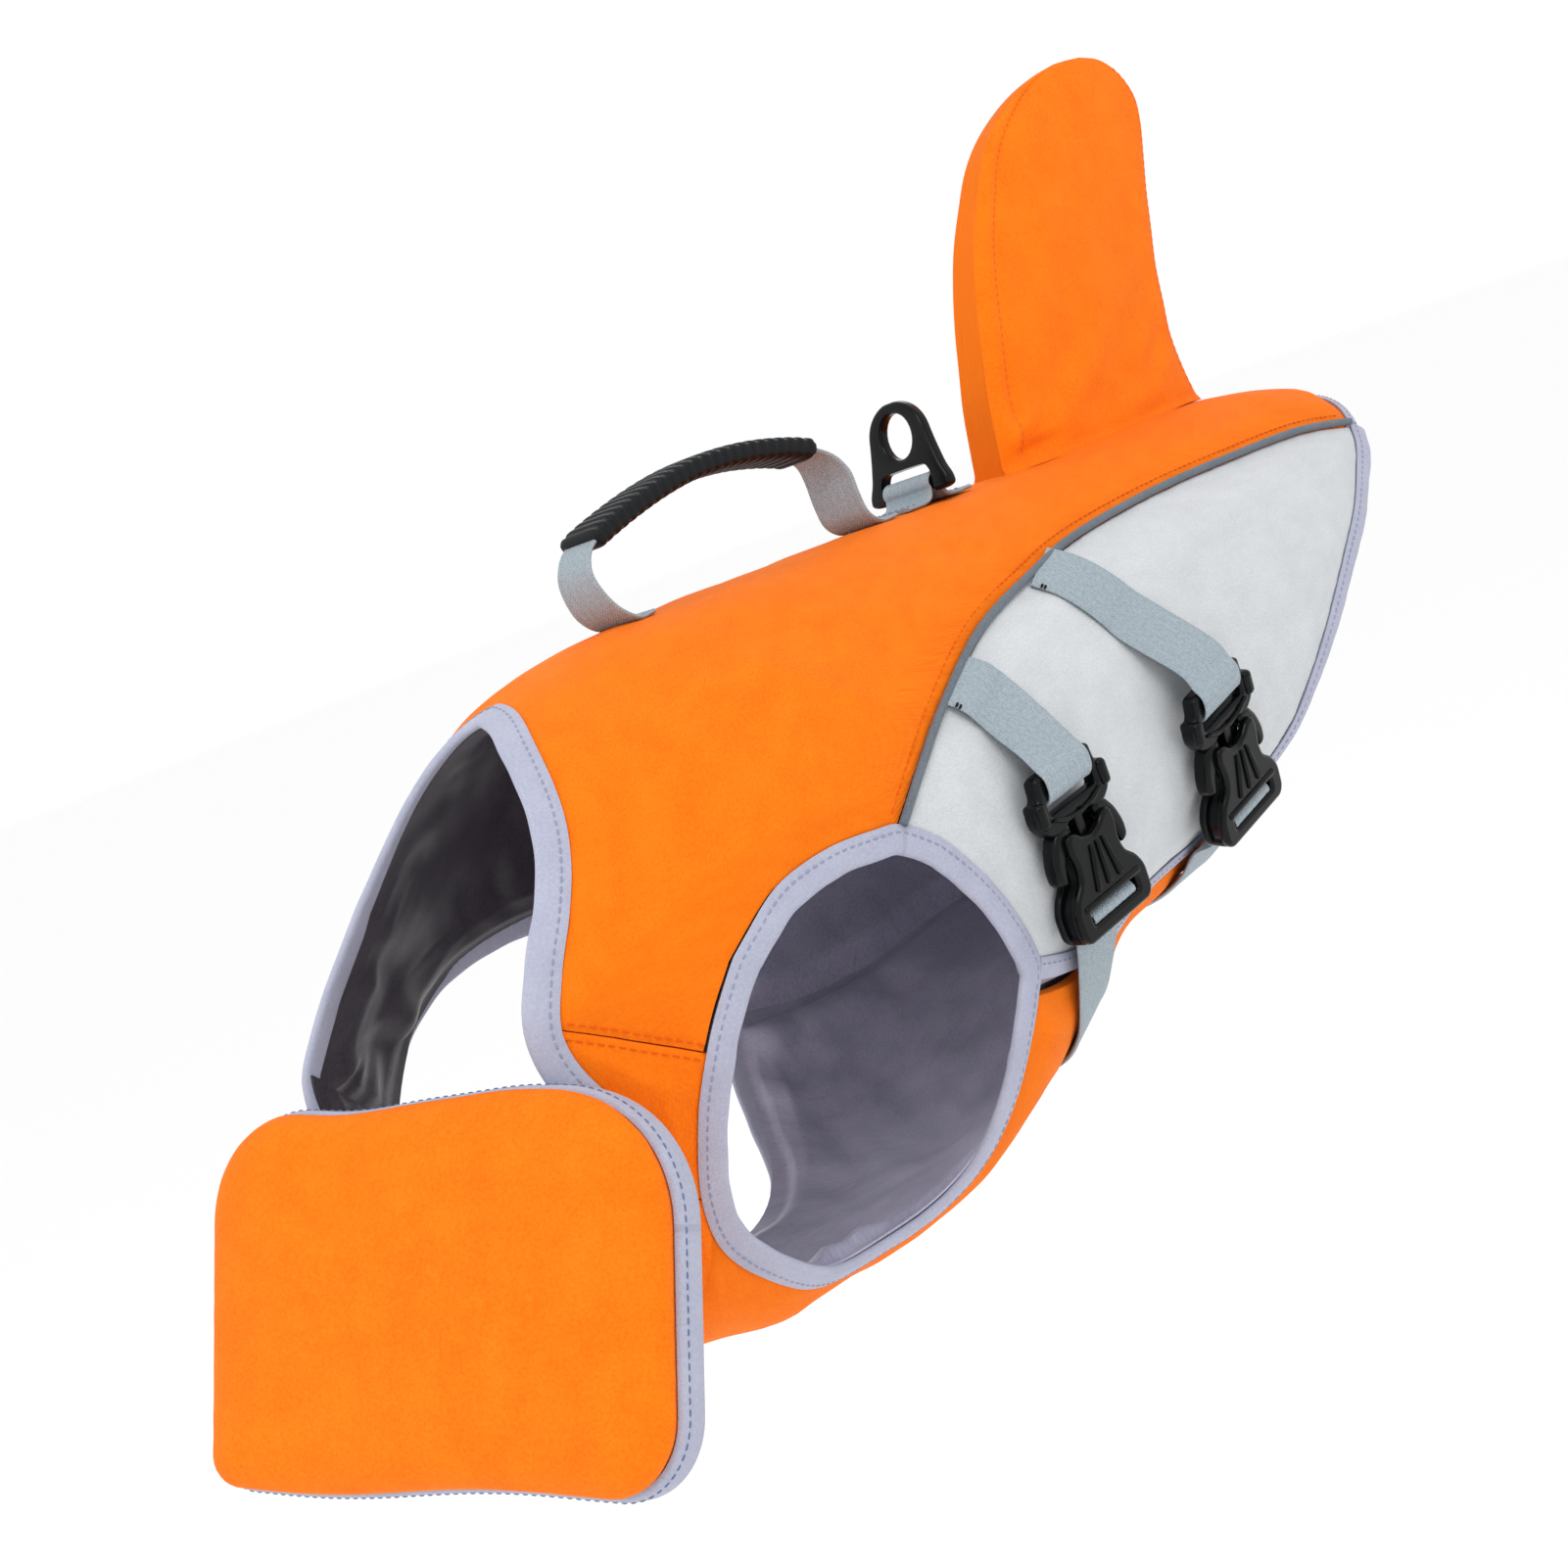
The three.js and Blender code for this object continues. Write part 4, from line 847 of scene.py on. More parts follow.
def smooth_line(count, *stretches):
    """Places at even steps along stretches, each a function of t from 0 to 1."""
    fine = np.concatenate([f(np.linspace(0, 1, 200)) for f in stretches])
    lengths = line_lengths(skin(fine))
    return resampled(np.linspace(0, lengths[-1], count), lengths, fine)


neck_line = smooth_line(260, lambda t: neck_place(t * 360))[:-1]
neck_frames = binding("neck_tape", "neck_binding", neck_line, TAPE_WIDTH, -1, True, 61)
stitch_lanes = [(neck_frames, 1.9, TAPE_TOP + 0.34, True)]
LEG_TAPE_WIDTH = 8.6
for side, sign in SIDES:
    facing = (1, sign)
    leg_line = smooth_line(220, leg_hole)[:-1] * facing
    frames = binding(
        f"leg_tape_{side}", f"leg_binding_{side}", leg_line, LEG_TAPE_WIDTH, sign, True, 63 + sign
    )
    stitch_lanes.append((frames, 1.9, TAPE_TOP + 0.3, True))
    hem_line = smooth_line(
        200, lambda t: tip_edge(0.06 + 0.94 * t), lambda t: spline(HEM_EDGE, t * 0.997)
    ) * facing
    frames = binding(
        f"hem_tape_{side}", f"hem_binding_{side}", hem_line, HEM_TAPE_WIDTH, sign, False, 66 + sign
    )
    stitch_lanes.append((frames, 1.6, TAPE_TOP + 0.3, False))
tail_line = smooth_line(
    90,
    lambda t: mirrored(spline(TAIL_EDGE, (1 - t) * 0.975)),
    lambda t: spline(TAIL_EDGE, t * 0.975),
)
frames = binding("tail_tape", "tail_binding", tail_line, TAIL_TAPE_WIDTH, 1, False, 71)
stitch_lanes.append((frames, 1.3, TAPE_TOP + 0.25, False))
frames = binding("belly_tape", "belly_binding", smooth_line(80, belly_rear), HEM_TAPE_WIDTH, 1, False, 72)
stitch_lanes.append((frames, 1.6, TAPE_TOP + 0.3, False))


# Sewing thread. Lockstitches about 3 mm long: along every tape, beside the cross seams and both sides
# of the piping. Each stitch is a short rounded bead of thread pulled into the cloth at its ends.
STITCH_LENGTH = 2.5
STITCH_STEP = 3.2
STITCH_SIDES = 5


def thread_material(name, colour):
    return plain_material(name, colour, 0.75, 0.15)[0]


def stitch_row(line, normal, radius):
    """Points and faces of the stitches along a line."""
    lengths = line_lengths(line)
    count = max(int(lengths[-1] / STITCH_STEP), 1)
    points = []
    faces = []
    profile = ((-0.5, 0.25), (-0.3, 0.9), (0, 1), (0.3, 0.9), (0.5, 0.25))
    for spot in (np.arange(count) + 0.5) * lengths[-1] / count:
        before = resampled(max(spot - 1, 0), lengths, line)
        middle = resampled(spot, lengths, line)
        after = resampled(min(spot + 1, lengths[-1]), lengths, line)
        along = unit(after - before)
        up = unit(resampled(spot, lengths, normal))
        side_way = np.cross(up, along)
        faces += [[len(points) + k for k in face] for face in ring_faces(len(profile), STITCH_SIDES)]
        for share, swell in profile:
            for k in range(STITCH_SIDES):
                a = 2 * math.pi * k / STITCH_SIDES
                height = radius * swell * math.cos(a) + radius * (swell - 1) * 0.8
                shifted = middle + along * share * STITCH_LENGTH + up * height
                points.append(shifted + side_way * radius * swell * math.sin(a))
    return points, faces


def stitches(name, rows, material, radius=0.32):
    """One piece of all the stitches along some lines with their normals."""
    points = []
    faces = []
    for line, normal in rows:
        some, found = stitch_row(line, normal, radius)
        faces += [[a + len(points) for a in face] for face in found]
        points += some
    cloth = np.zeros((len(points), 3))
    obj = cloth_mesh(name, np.array(points), faces, cloth, material)
    return finish_piece(obj)


def lane(frames, across, height, closed=False):
    """A line beside a seam, with its normals."""
    points, normal, way = frames
    line = points + way * across + normal * height
    if closed:
        line = np.vstack([line, line[:1]])
        normal = np.vstack([normal, normal[:1]])
    return line, normal


tape_thread = thread_material("grey_thread", (0.27, 0.29, 0.41))
float_thread = thread_material("blue_grey_thread", (0.12, 0.16, 0.29))
tape_rows = [lane(frames, across, height, closed) for frames, across, height, closed in stitch_lanes]
stitches("tape_stitches", tape_rows, tape_thread, radius=0.36)

orange_thread = thread_material("orange_thread", (0.72, 0.11, 0.002))
orange_rows = []
for sign in (1, -1):
    cross_line = smooth_line(30, lambda t: cross_seam(0.04 + 0.92 * t)) * (1, sign)
    frames = seam_frames(cross_line)
    for offset in (-2.4, 2.4):
        orange_rows.append(lane(frames, offset, -1.65))
    back_seam = smooth_line(160, lambda t: piped_seam(0.01 + 0.98 * t)) * (1, sign)
    orange_rows.append(lane(seam_frames(back_seam), 5 * -sign, -1.25))
stitches("orange_stitches", orange_rows, orange_thread, radius=0.26)


# Piping. A dark grey cloth cord lies in the seam between the orange back and each pale side, with
# the twist of its bias-cut cover showing as fine slanting lines.
piping_cloth = cloth_material("grey_piping", (0.10, 0.125, 0.15), (0.15, 0.18, 0.21), 0.6, ribbed, 0.0002)
for side, sign in SIDES:
    seam = smooth_line(200, lambda t: piped_seam(0.004 + 0.992 * t)) * (1, sign)
    circle = [2 * math.pi * k / 12 for k in range(12)]
    lift = PIPING_RADIUS - PINCH
    section = [(PIPING_RADIUS * math.cos(a), lift + PIPING_RADIUS * math.sin(a)) for a in circle]
    cord = swept(f"piping_cord_{side}", seam_frames(seam), section, piping_cloth)
    finish_piece(cord, [f"piping_{side}"])


# Webbing straps. Blue-grey 25 mm polyester webbing: two run down each side from the piping, and from
# the buckles they pass under the belly. The weave shows as a fine herringbone with firm edges.
WEBBING_WIDTH = 25
WEBBING_THICK = 1.6
WEBBING_LIFT = 1.5  # over the body's surface, to clear the swell of the panels
BUCKLE_LENGTH = 60
BUCKLE_THICK = 11
BUCKLE_PLATE = 6
BUCKLE_STAND_OFF = 2.2
STRAPS = (
    {"name": "front", "top": (-84, 64), "bend": (-71, 80), "buckle": (-68, 101), "low": (-61, 129),
     "belly": -42},
    {"name": "rear", "top": (-13, 49.5), "bend": (18, 87), "buckle": (24, 108), "low": (31, 132),
     "belly": 38},
)


def webbing_group():
    """Herringbone of a strap: ribs that slant one way and then the other across the width."""
    tree, place, down, across = weave_tree("webbing_weave")
    slant = math_node(tree, "ADD", down, math_node(tree, "PINGPONG", across, 0.0021))
    row = math_node(tree, "MULTIPLY", wave(tree, across, 0.0014), 0.6)
    height = math_node(tree, "ADD", wave(tree, slant, 0.0011), row)
    # The colour follows the ribs' height, lighter on their tops and darker in the grooves: painted shade.
    shade = math_node(tree, "MULTIPLY", height, 0.06)
    return finish_weave(tree, height, math_node(tree, "ADD", noise_node(tree, place, 700, 4), shade))


webbing_weave = webbing_group()
webbing = cloth_material(
    "blue_grey_webbing", (0.31, 0.375, 0.42), (0.39, 0.455, 0.50), 0.6, webbing_weave, 0.00022, 0.1, 0.7
)


def band_section(width, thick):
    """A webbing's section with rounded, thicker edges and a flat face, for frames on its underside."""
    half = width / 2
    upper = [(half, 0.5), (half - 0.25, 0.82), (half - 0.9, 1.0), (half - 1.6, 0.92), (half * 0.6, 0.93),
             (half * 0.2, 0.95)]
    lower = [(w, 1 - h) for w, h in upper[1:]]
    ring = upper + [(-w, h) for w, h in upper[::-1]] + [(-w, h) for w, h in lower] + lower[::-1]
    return [(w, h * thick) for w, h in ring]


def smooth_frames(points, normal, across, step=2.0):
    """Frames at even steps along a line that passes through the given ones."""
    lengths = line_lengths(points)
    count = max(int(lengths[-1] / step), 4)
    spans = np.arange(len(points)) / (len(points) - 1)
    at = np.interp(np.linspace(0, lengths[-1], count + 1), lengths, spans)
    return tuple(spline(values, at) if k == 0 else unit(spline(values, at))
                 for k, values in enumerate((points, normal, across)))


def lay_frames(places):
    points, normal, across = seam_frames(places)
    return points + normal * WEBBING_LIFT, normal, -across


def buckle_frame(row):
    """The buckle's axes as rows (across, down its length, away from the body) and its centre."""
    at = np.array(row["buckle"], float)
    normal = skin_normal(at)
    down = skin(np.array(row["low"], float)) - skin(np.array(row["bend"], float))
    down = unit(down - normal * (down @ normal))
    centre = skin(at) + normal * (BUCKLE_STAND_OFF + BUCKLE_THICK / 2)
    return np.cross(down, normal), down, normal, centre


def underside(axes, alongs, half):
    across, down, normal, centre = axes
    points = [centre + down * along - normal * (half + SEAM_GAP + WEBBING_THICK) for along in alongs]
    return np.array(points), np.array([normal] * len(points)), np.array([across] * len(points))


def joined_frames(*groups):
    return tuple(np.concatenate([g[k] for g in groups]) for k in range(3))


def over_bar(axes, rows):
    """Frames of a webbing at the buckle. Each row: how far down it, how high, and the tilt in degrees."""
    across, down, normal, centre = axes
    points = [centre + down * along + normal * height for along, height, _ in rows]
    tilts = [math.radians(tilt) for _, _, tilt in rows]
    ways = [normal * math.cos(tilt) + down * math.sin(tilt) for tilt in tilts]
    return np.array(points), np.array(ways), np.array([across] * len(points))


corner_rows = []
for row in STRAPS:
    axes = buckle_frame(row)
    head = -BUCKLE_LENGTH / 2
    upper_places = spline([row["top"], row["bend"], row["buckle"]], np.linspace(0.0, 0.26, 5))
    upper = lay_frames(upper_places)
    upper[0][:2] -= upper[1][:2] * np.array([[3.0], [0.9]])
    climb = ((head - 8, -4.6, -22), (head - 1, 0.6, -34), (head + 2.6, 3.2, -8), (head + 7.4, 3.2, 10),
             (head + 9.8, 1.6, 55), (head + 10.6, -1.6, 85))
    upper = smooth_frames(*joined_frames(upper, over_bar(axes, climb)), step=1.2)
    obj = swept(f"upper_webbing_{row['name']}", upper, band_section(WEBBING_WIDTH, WEBBING_THICK), webbing)
    finish_piece(obj, [f"strap_upper_{row['name']}"])
    declare_sheet(obj)
    far = [(station, 360 - angle) for station, angle in (row["low"], row["bend"], row["top"])]
    round_places = spline([row["low"], (row["belly"], 180), *far], np.linspace(0.02, 0.985, 23))
    tail_end = underside(axes, (-head - 12, -head + 2), BUCKLE_THICK / 2)
    lower = smooth_frames(*joined_frames(tail_end, lay_frames(round_places)))
    obj = swept(f"lower_webbing_{row['name']}", lower, band_section(WEBBING_WIDTH, WEBBING_THICK), webbing)
    finish_piece(obj, [f"strap_lower_{row['name']}"])
    declare_sheet(obj)
    # A short bar of black thread holds the webbing's front corner beside the piping.
    points, normal, across = upper
    front_way = -np.sign(across[3][0])
    for spot, inset in ((3, 11.6), (4, 11.8)):
        middle = points[spot] + across[spot] * front_way * inset + normal[spot] * WEBBING_THICK
        line = np.array([middle - across[spot] * 1.6, middle + across[spot] * 1.6])
        corner_rows.append((line, np.array([normal[spot]] * 2)))
black_thread = thread_material("black_thread", (0.01, 0.01, 0.012))
stitches("corner_stitches", corner_rows, black_thread, radius=0.5)


# Buckles. Black moulded side-release buckles, each a latch with a webbing bar and two springy arms, and
# a waisted socket with ribs down its middle. They are made once and set again on the second strap.
def moulded_material(name, colour, roughness, specular, grain, strength):
    """A plain material with a fine grain raised on it."""
    material, shader = plain_material(name, colour, roughness, specular)
    tree = material.node_tree
    place = tree.nodes.new("ShaderNodeTexCoord").outputs["Object"]
    raise_relief(tree, shader, noise_node(tree, place, grain), strength, 0.0001)
    return material


plastic = moulded_material("black_plastic", (0.002, 0.0025, 0.003), 0.24, 0.17, 1800, 0.12)


def moulded(outlines, thick, rounding, height=0.0):
    """A plate from closed outlines in mm, the first its edge and the others holes, with rounded edges."""
    data = bpy.data.curves.new("moulded", "CURVE")
    data.dimensions = "2D"
    data.fill_mode = "BOTH"
    data.extrude = (thick / 2 - rounding) * MM
    data.bevel_depth = rounding * MM
    data.bevel_resolution = 3
    data.offset = -rounding * MM
    for outline in outlines:
        line = data.splines.new("POLY")
        line.points.add(len(outline) - 1)
        for point, (x, y) in zip(line.points, outline):
            point.co = (x * MM, y * MM, 0, 1)
        line.use_cyclic_u = True
    obj = bpy.data.objects.new("moulded", data)
    bpy.context.scene.collection.objects.link(obj)
    obj.location = (0, 0, height * MM)
    pick(obj)
    bpy.ops.object.convert(target="MESH")
    bpy.ops.object.transform_apply(location=True, rotation=True, scale=True)
    return bpy.context.object


def rounded(points, radius=1.6, steps=4):
    """An outline with its corners rounded, as a row of points."""
    points = np.array(points, float)
    out = []
    for k, corner in enumerate(points):
        before, after = points[k - 1] - corner, points[(k + 1) % len(points)] - corner
        cut = min(radius, 0.45 * np.linalg.norm(before), 0.45 * np.linalg.norm(after))
        start, end = corner + unit(before) * cut, corner + unit(after) * cut
        for t in np.linspace(0, 1, steps):
            out.append(tuple((1 - t) ** 2 * start + 2 * t * (1 - t) * corner + t * t * end))
    return out


def box_outline(x, y, width, length, radius=1.2):
    corners = ((-0.5, -0.5), (0.5, -0.5), (0.5, 0.5), (-0.5, 0.5))
    return rounded([(x + across * width, y + up * length) for across, up in corners], radius)


def both_ways(half):
    return half + [(-x, y) for x, y in half[::-1]]


def merge_pieces(name, pieces, material):
    pick(*pieces)
    bpy.ops.object.join()
    obj = bpy.context.object
    obj.name = name
    obj.data.name = name
    obj.data.materials.clear()
    obj.data.materials.append(material)
    bpy.ops.object.shade_smooth_by_angle(angle=math.radians(38))
    return obj


def latch_pieces():
    top = -BUCKLE_LENGTH / 2
    edge = [(0, top + 19.6), (5, top + 20.4), (10, top + 22.4), (14, top + 22.4), (18.6, top + 19.6),
            (20.8, top + 16), (21.2, top + 12.4), (19.8, top + 9.2), (16.6, top + 7.6), (16, top + 1.6),
            (14, top + 0.6)]
    bar_gap = box_outline(0, top + 12.4, 27, 5.0)
    frame_plate = moulded([rounded(both_ways(edge), 2.2), bar_gap], BUCKLE_PLATE, 1.5)
    ears = [moulded([box_outline(way * 18, top + 13, 4.6, 9.4, 2)], 8.0, 1.8, 0.4) for way in (1, -1)]
    smile = [(0, top + 18.6), (7, top + 17.8), (13, top + 15.6), (14.6, top + 16.6), (8, top + 19.6)]
    lip = moulded([rounded(both_ways(smile), 1.2)], 2.6, 0.9, 3.0)
    arm_edge = ((8, 19.5), (14.5, 20.5), (18.4, 25.5), (20.6, 32), (20.2, 37.5), (16.2, 39), (14.4, 32),
                (10.5, 26), (7.5, 24))
    arms = []
    for way in (1, -1):
        arms.append(moulded([rounded([(way * x, top + y) for x, y in arm_edge], 2.2)], 6.6, 1.9))
    guide = moulded([box_outline(0, top + 28, 4.6, 20, 1)], 4.4, 0.8)
    return [frame_plate, *ears, lip, *arms, guide]


def socket_pieces():
    top, end = -BUCKLE_LENGTH / 2, BUCKLE_LENGTH / 2
    edge = [(0, top + 27.4), (4.6, top + 26.4), (8, top + 23.4), (12.6, top + 23), (13.6, top + 28),
            (12.2, top + 34), (13.2, top + 39.5), (18.2, top + 43.6), (20.8, top + 48.4), (20.6, end - 3),
            (18, end)]
    slot_cut = box_outline(0, end - 7.4, 27.4, 4.6)
    front = moulded([rounded(both_ways(edge), 2.2), slot_cut], 3.8, 1.5, 3.6)
    rear = moulded([rounded(both_ways(edge), 2.2), slot_cut], 3.0, 1.1, -3.9)
    core_edge = both_ways([(10.6, top + 28), (10.8, top + 40), (17.0, top + 45), (19.2, top + 49),
                           (19.0, end - 4), (17, end - 1)])
    core = moulded([rounded(core_edge, 2), slot_cut], 8, 0.8)
    end_bar = moulded([box_outline(0, end - 2.5, 38, 4.8, 2.1)], 8.6, 2.1, -0.4)
    shoulder_bar = moulded([box_outline(0, end - 11.6, 33, 2.6, 1.2)], 2.4, 1.1, 5.2)
    ribs = []
    for way in (-1, 0, 1):
        rib = [(way * 3.4 - 0.7, top + 30), (way * 3.4 + 0.7, top + 30), (way * 6.6 + 1.4, top + 45.6),
               (way * 6.6 - 1.4, top + 45.6)]
        ribs.append(moulded([rounded(rib, 0.7)], 2.6, 0.9, 5.3))
    return [front, rear, core, end_bar, shoulder_bar, *ribs]


def place_part(obj, axes):
    across, down, normal, centre = (Vector(v) for v in axes)
    matrix = Matrix((across, down, normal)).transposed().to_4x4()
    obj.data.transform(Matrix.Translation(centre * MM) @ matrix)


for part, pieces in (("latch", latch_pieces()), ("socket", socket_pieces())):
    model = merge_pieces(f"{part}_front", pieces, plastic)
    second = bpy.data.objects.new(f"{part}_rear", model.data.copy())
    bpy.context.scene.collection.objects.link(second)
    for obj, row in zip((model, second), STRAPS):
        place_part(obj, buckle_frame(row))
        finish_piece(obj, [f"buckle_{part}_{row['name']}"])
# The lower webbing's end shows as a stripe in the socket's slot, where it turns round the end bar.
for row in STRAPS:
    axes = buckle_frame(row)
    tail = BUCKLE_LENGTH / 2
    turn = ((tail - 9.6, -5.4, -80), (tail - 9, 0.4, -80), (tail - 8, 3.2, -35), (tail - 6, 4.0, 10),
            (tail - 5.2, 2.6, 70), (tail - 5, -1, 90))
    stripe = smooth_frames(*over_bar(axes, turn), step=0.7)
    loop = swept(f"turned_webbing_{row['name']}", stripe, band_section(WEBBING_WIDTH, 0.9), webbing)
    finish_piece(loop)
    declare_sheet(loop)


# Chest float. A block of foam in orange cloth hangs from the neck by its own tape. Its front is softly
# domed, its side wall is bound in the lavender tape, and the cloth puckers a little along that tape.
FLOAT_WIDTH = 172
FLOAT_HEIGHT = 116
FLOAT_CENTRE = np.array([-299.4, -12.4, -162.6])
FLOAT_LEAN = math.radians(24)
FLOAT_YAW = math.radians(21)
FLOAT_CORNERS = ((0.5, 0.5, 40), (-0.5, 0.5, 34), (-0.5, -0.5, 10), (0.5, -0.5, 22))
float_up = np.array([math.sin(FLOAT_LEAN), 0, math.cos(FLOAT_LEAN)])
float_wide = np.array([math.sin(FLOAT_YAW), -math.cos(FLOAT_YAW), 0])
float_wide = unit(float_wide - float_up * (float_wide @ float_up))
float_front = unit(np.cross(float_wide, float_up))


def float_outline(inset, count=240):
    """The float's outline, at even steps, that much inside its widest one."""
    points = []
    for x, y, radius in FLOAT_CORNERS:
        bend = max(radius - inset, 2)
        centre_x = np.sign(x) * (FLOAT_WIDTH / 2 - inset - bend)
        centre_y = np.sign(y) * (FLOAT_HEIGHT / 2 - inset - bend)
        start = math.atan2(y, x) - math.pi / 4
        for a in np.linspace(start, start + math.pi / 2, 16):
            points.append((centre_x + bend * math.cos(a), centre_y + bend * math.sin(a)))
    points = np.array(points + points[:1])
    lengths = line_lengths(points)
    outline = resampled(np.linspace(0, lengths[-1], count + 1)[:-1], lengths, points)
    # The top edge sags between the neck's two sides, and the foot bows a little.
    above = np.clip(outline[:, 1] / (FLOAT_HEIGHT / 2), 0, 1) ** 2
    below = np.clip(-outline[:, 1] / (FLOAT_HEIGHT / 2), 0, 1) ** 2
    across = outline[:, 0] / FLOAT_WIDTH
    sag = -2.6 * np.exp(-(((across + 0.2) / 0.14) ** 2))
    rise = 1.6 * np.exp(-(((across - 0.18) / 0.12) ** 2))
    outline[:, 1] += above * (sag + rise)
    outline[:, 1] += below * 1.2 * np.sin(across * 9 + 0.6)
    return outline


def float_point(flat, depth):
    face = FLOAT_CENTRE + flat[..., :1] * float_wide + flat[..., 1:] * float_up
    return face + depth[..., None] * float_front


FLOAT_LEVELS = ((0, 6), (0.2, 3), (1.6, 1.5), (10.2, 1.5), (11, 1.5), (11.9, 1.0), (13.2, 0.3), (15, 0.1),
                (16.6, 0.7), (18.4, 2), (20, 4), (21.4, 6.6), (22.6, 10), (23.7, 15), (24.6, 21), (25.3, 28),
                (25.8, 36), (26.1, 44), (26.2, 51))
rings = []
flat_rings = []
for depth, inset in FLOAT_LEVELS:
    outline = float_outline(min(inset, 48))
    if inset > 48:
        outline = outline * np.array([0.93, 0.55])
    flat = np.concatenate([outline, 0 * outline[:, :1]], 1)
    pucker = ripple(flat, 8, 0.35, 81) * math.exp(-(((depth - 14) / 4) ** 2))
    swell = ripple(flat, 60, 0.7, 82) * (1 if depth > 18 else 0)
    rings.append(float_point(outline, depth + pucker + swell))
    flat_rings.append(flat + (0, 0, depth))
rings = np.array(rings)
count = rings.shape[1]
faces = ring_faces(len(rings), count)[:-1]
# The middle of the front is closed by rows across the last ring.
last = (len(rings) - 1) * count
half = count // 2
faces.append([last, last + 1, last + count - 1])
faces += [[last + k, last + k + 1, last + count - k - 1, last + count - k] for k in range(1, half - 1)]
faces.append([last + half - 1, last + half, last + half + 1])
flat_rings = np.array(flat_rings)
float_pad = cloth_mesh("float_cloth", rings.reshape(-1, 3), faces, flat_rings.reshape(-1, 3), orange)
finish_piece(float_pad, ["chest_float"])

tape_rim = float_outline(0)
next_way = unit(np.roll(tape_rim, -1, 0) - np.roll(tape_rim, 1, 0))
outwards = np.stack([next_way[:, 1], -next_way[:, 0]], -1)
tape_points = float_point(tape_rim, np.zeros(len(tape_rim)))
tape_across = outwards[:, :1] * float_wide + outwards[:, 1:] * float_up
tape_normal = np.array([float_front] * len(tape_rim))
FLOAT_TAPE = ((-1.1, 0.3), (-0.4, -0.5), (0.5, -0.6), (1.1, 0), (1.35, 1.5), (1.45, 5), (1.35, 8.6),
              (1.0, 10), (0.2, 10.7), (-1.0, 10.9), (-1.2, 10.4))
float_tape = swept("float_tape", (tape_points, tape_normal, tape_across), FLOAT_TAPE, tape_cloth, closed=True)
finish_piece(float_tape, ["float_binding"])
declare_sheet(float_tape)
seam_row = lane((tape_points, tape_across, tape_normal), 8.2, 1.4, closed=True)
stitches("float_stitches", [seam_row], float_thread, radius=0.4)


# Fin. A stuffed upright wedge of the same orange cloth, sewn to the spine: two side pieces that meet in a
# seam round the rear and over the tip, with a narrow gusset down the front whose edges are topstitched.
FIN_SECTIONS = {
    "height": (8.6, 20, 36, 50, 65, 80, 95, 110, 122, 132, 141, 147, 151, 153),
    "front": (47, 49.5, 53, 57.5, 62.5, 68.5, 76, 86, 95, 106, 121, 135, 149, 160),
    "rear": (176, 173.5, 172.5, 175, 178, 183, 188, 194, 198.5, 200, 196.5, 191, 184, 175),
    "thick": (25, 25, 24, 23, 22, 20.5, 19, 17, 15, 12.5, 10, 7.5, 5, 3),
}
FIN_PROFILE = {
    "along": (0, 0.05, 0.25, 0.55, 0.8, 0.95, 1),
    "half": (0.3, 0.44, 0.5, 0.46, 0.31, 0.15, 0.05),
}
FIN_CREASES = (  # start and end as x and height, width and rise
    ((48, 12), (78, 15), 3.0, -4.0),
    ((50, 18), (72, 27), 3.6, 2.2),
    ((60, 16), (64, 60), 3.5, -1.0),
    ((66, 22), (112, 52), 6, -1.6),
    ((74, 16), (122, 40), 6, 1.4),
    ((110, 22), (165, 60), 9, -1.9),
    ((128, 14), (171, 30), 6, 1.6),
    ((140, 22), (172, 44), 5, -1.6),
    ((96, 60), (120, 104), 9, 1.4),
    ((150, 70), (176, 104), 8, -1.2),
    ((120, 110), (165, 132), 8, 1.0),
)
FIN_GUSSET = 0.09  # share of the fin's length where the gusset's seam lies
FIN_FOOT = 8.6
fin_columns = 72
heights = np.concatenate([np.linspace(FIN_FOOT, 146, 110), 146 + 7 * np.linspace(0.12, 1, 8)])
share = (1 - np.cos(np.linspace(0, math.pi, fin_columns))) / 2


def on_back(x, y, height):
    """The foot follows the back, and the fin grows upright out of it."""
    drops = [skin(np.stack([x, 0 * x + angle], -1)) for angle in (0, 6, 12, 18, 24)]
    sides = np.array([-p[:, 1] for p in drops])
    levels = np.array([p[:, 2] for p in drops])
    foot = np.array([np.interp(y[k], sides[:, k], levels[:, k]) for k in range(len(x))]) + 0.5
    share = np.clip((height - FIN_FOOT) / 20, 0, 1)
    return (foot + height - FIN_FOOT) * (1 - share) + height * share


def fin_relief(x, height):
    """Height of the fin's creases at one level."""
    relief = np.zeros(len(x))
    for (ax, az), (bx, bz), width, rise in FIN_CREASES:
        run = np.array([bx - ax, bz - az], float)
        offset = np.stack([x - ax, np.full(len(x), height) - az], -1)
        t = np.clip(offset @ run / (run @ run), 0, 1)
        off = np.linalg.norm(offset - t[:, None] * run, axis=1)
        relief += rise * np.exp(-((off / width) ** 2)) * np.sin(math.pi * (0.1 + 0.8 * t))
    return relief


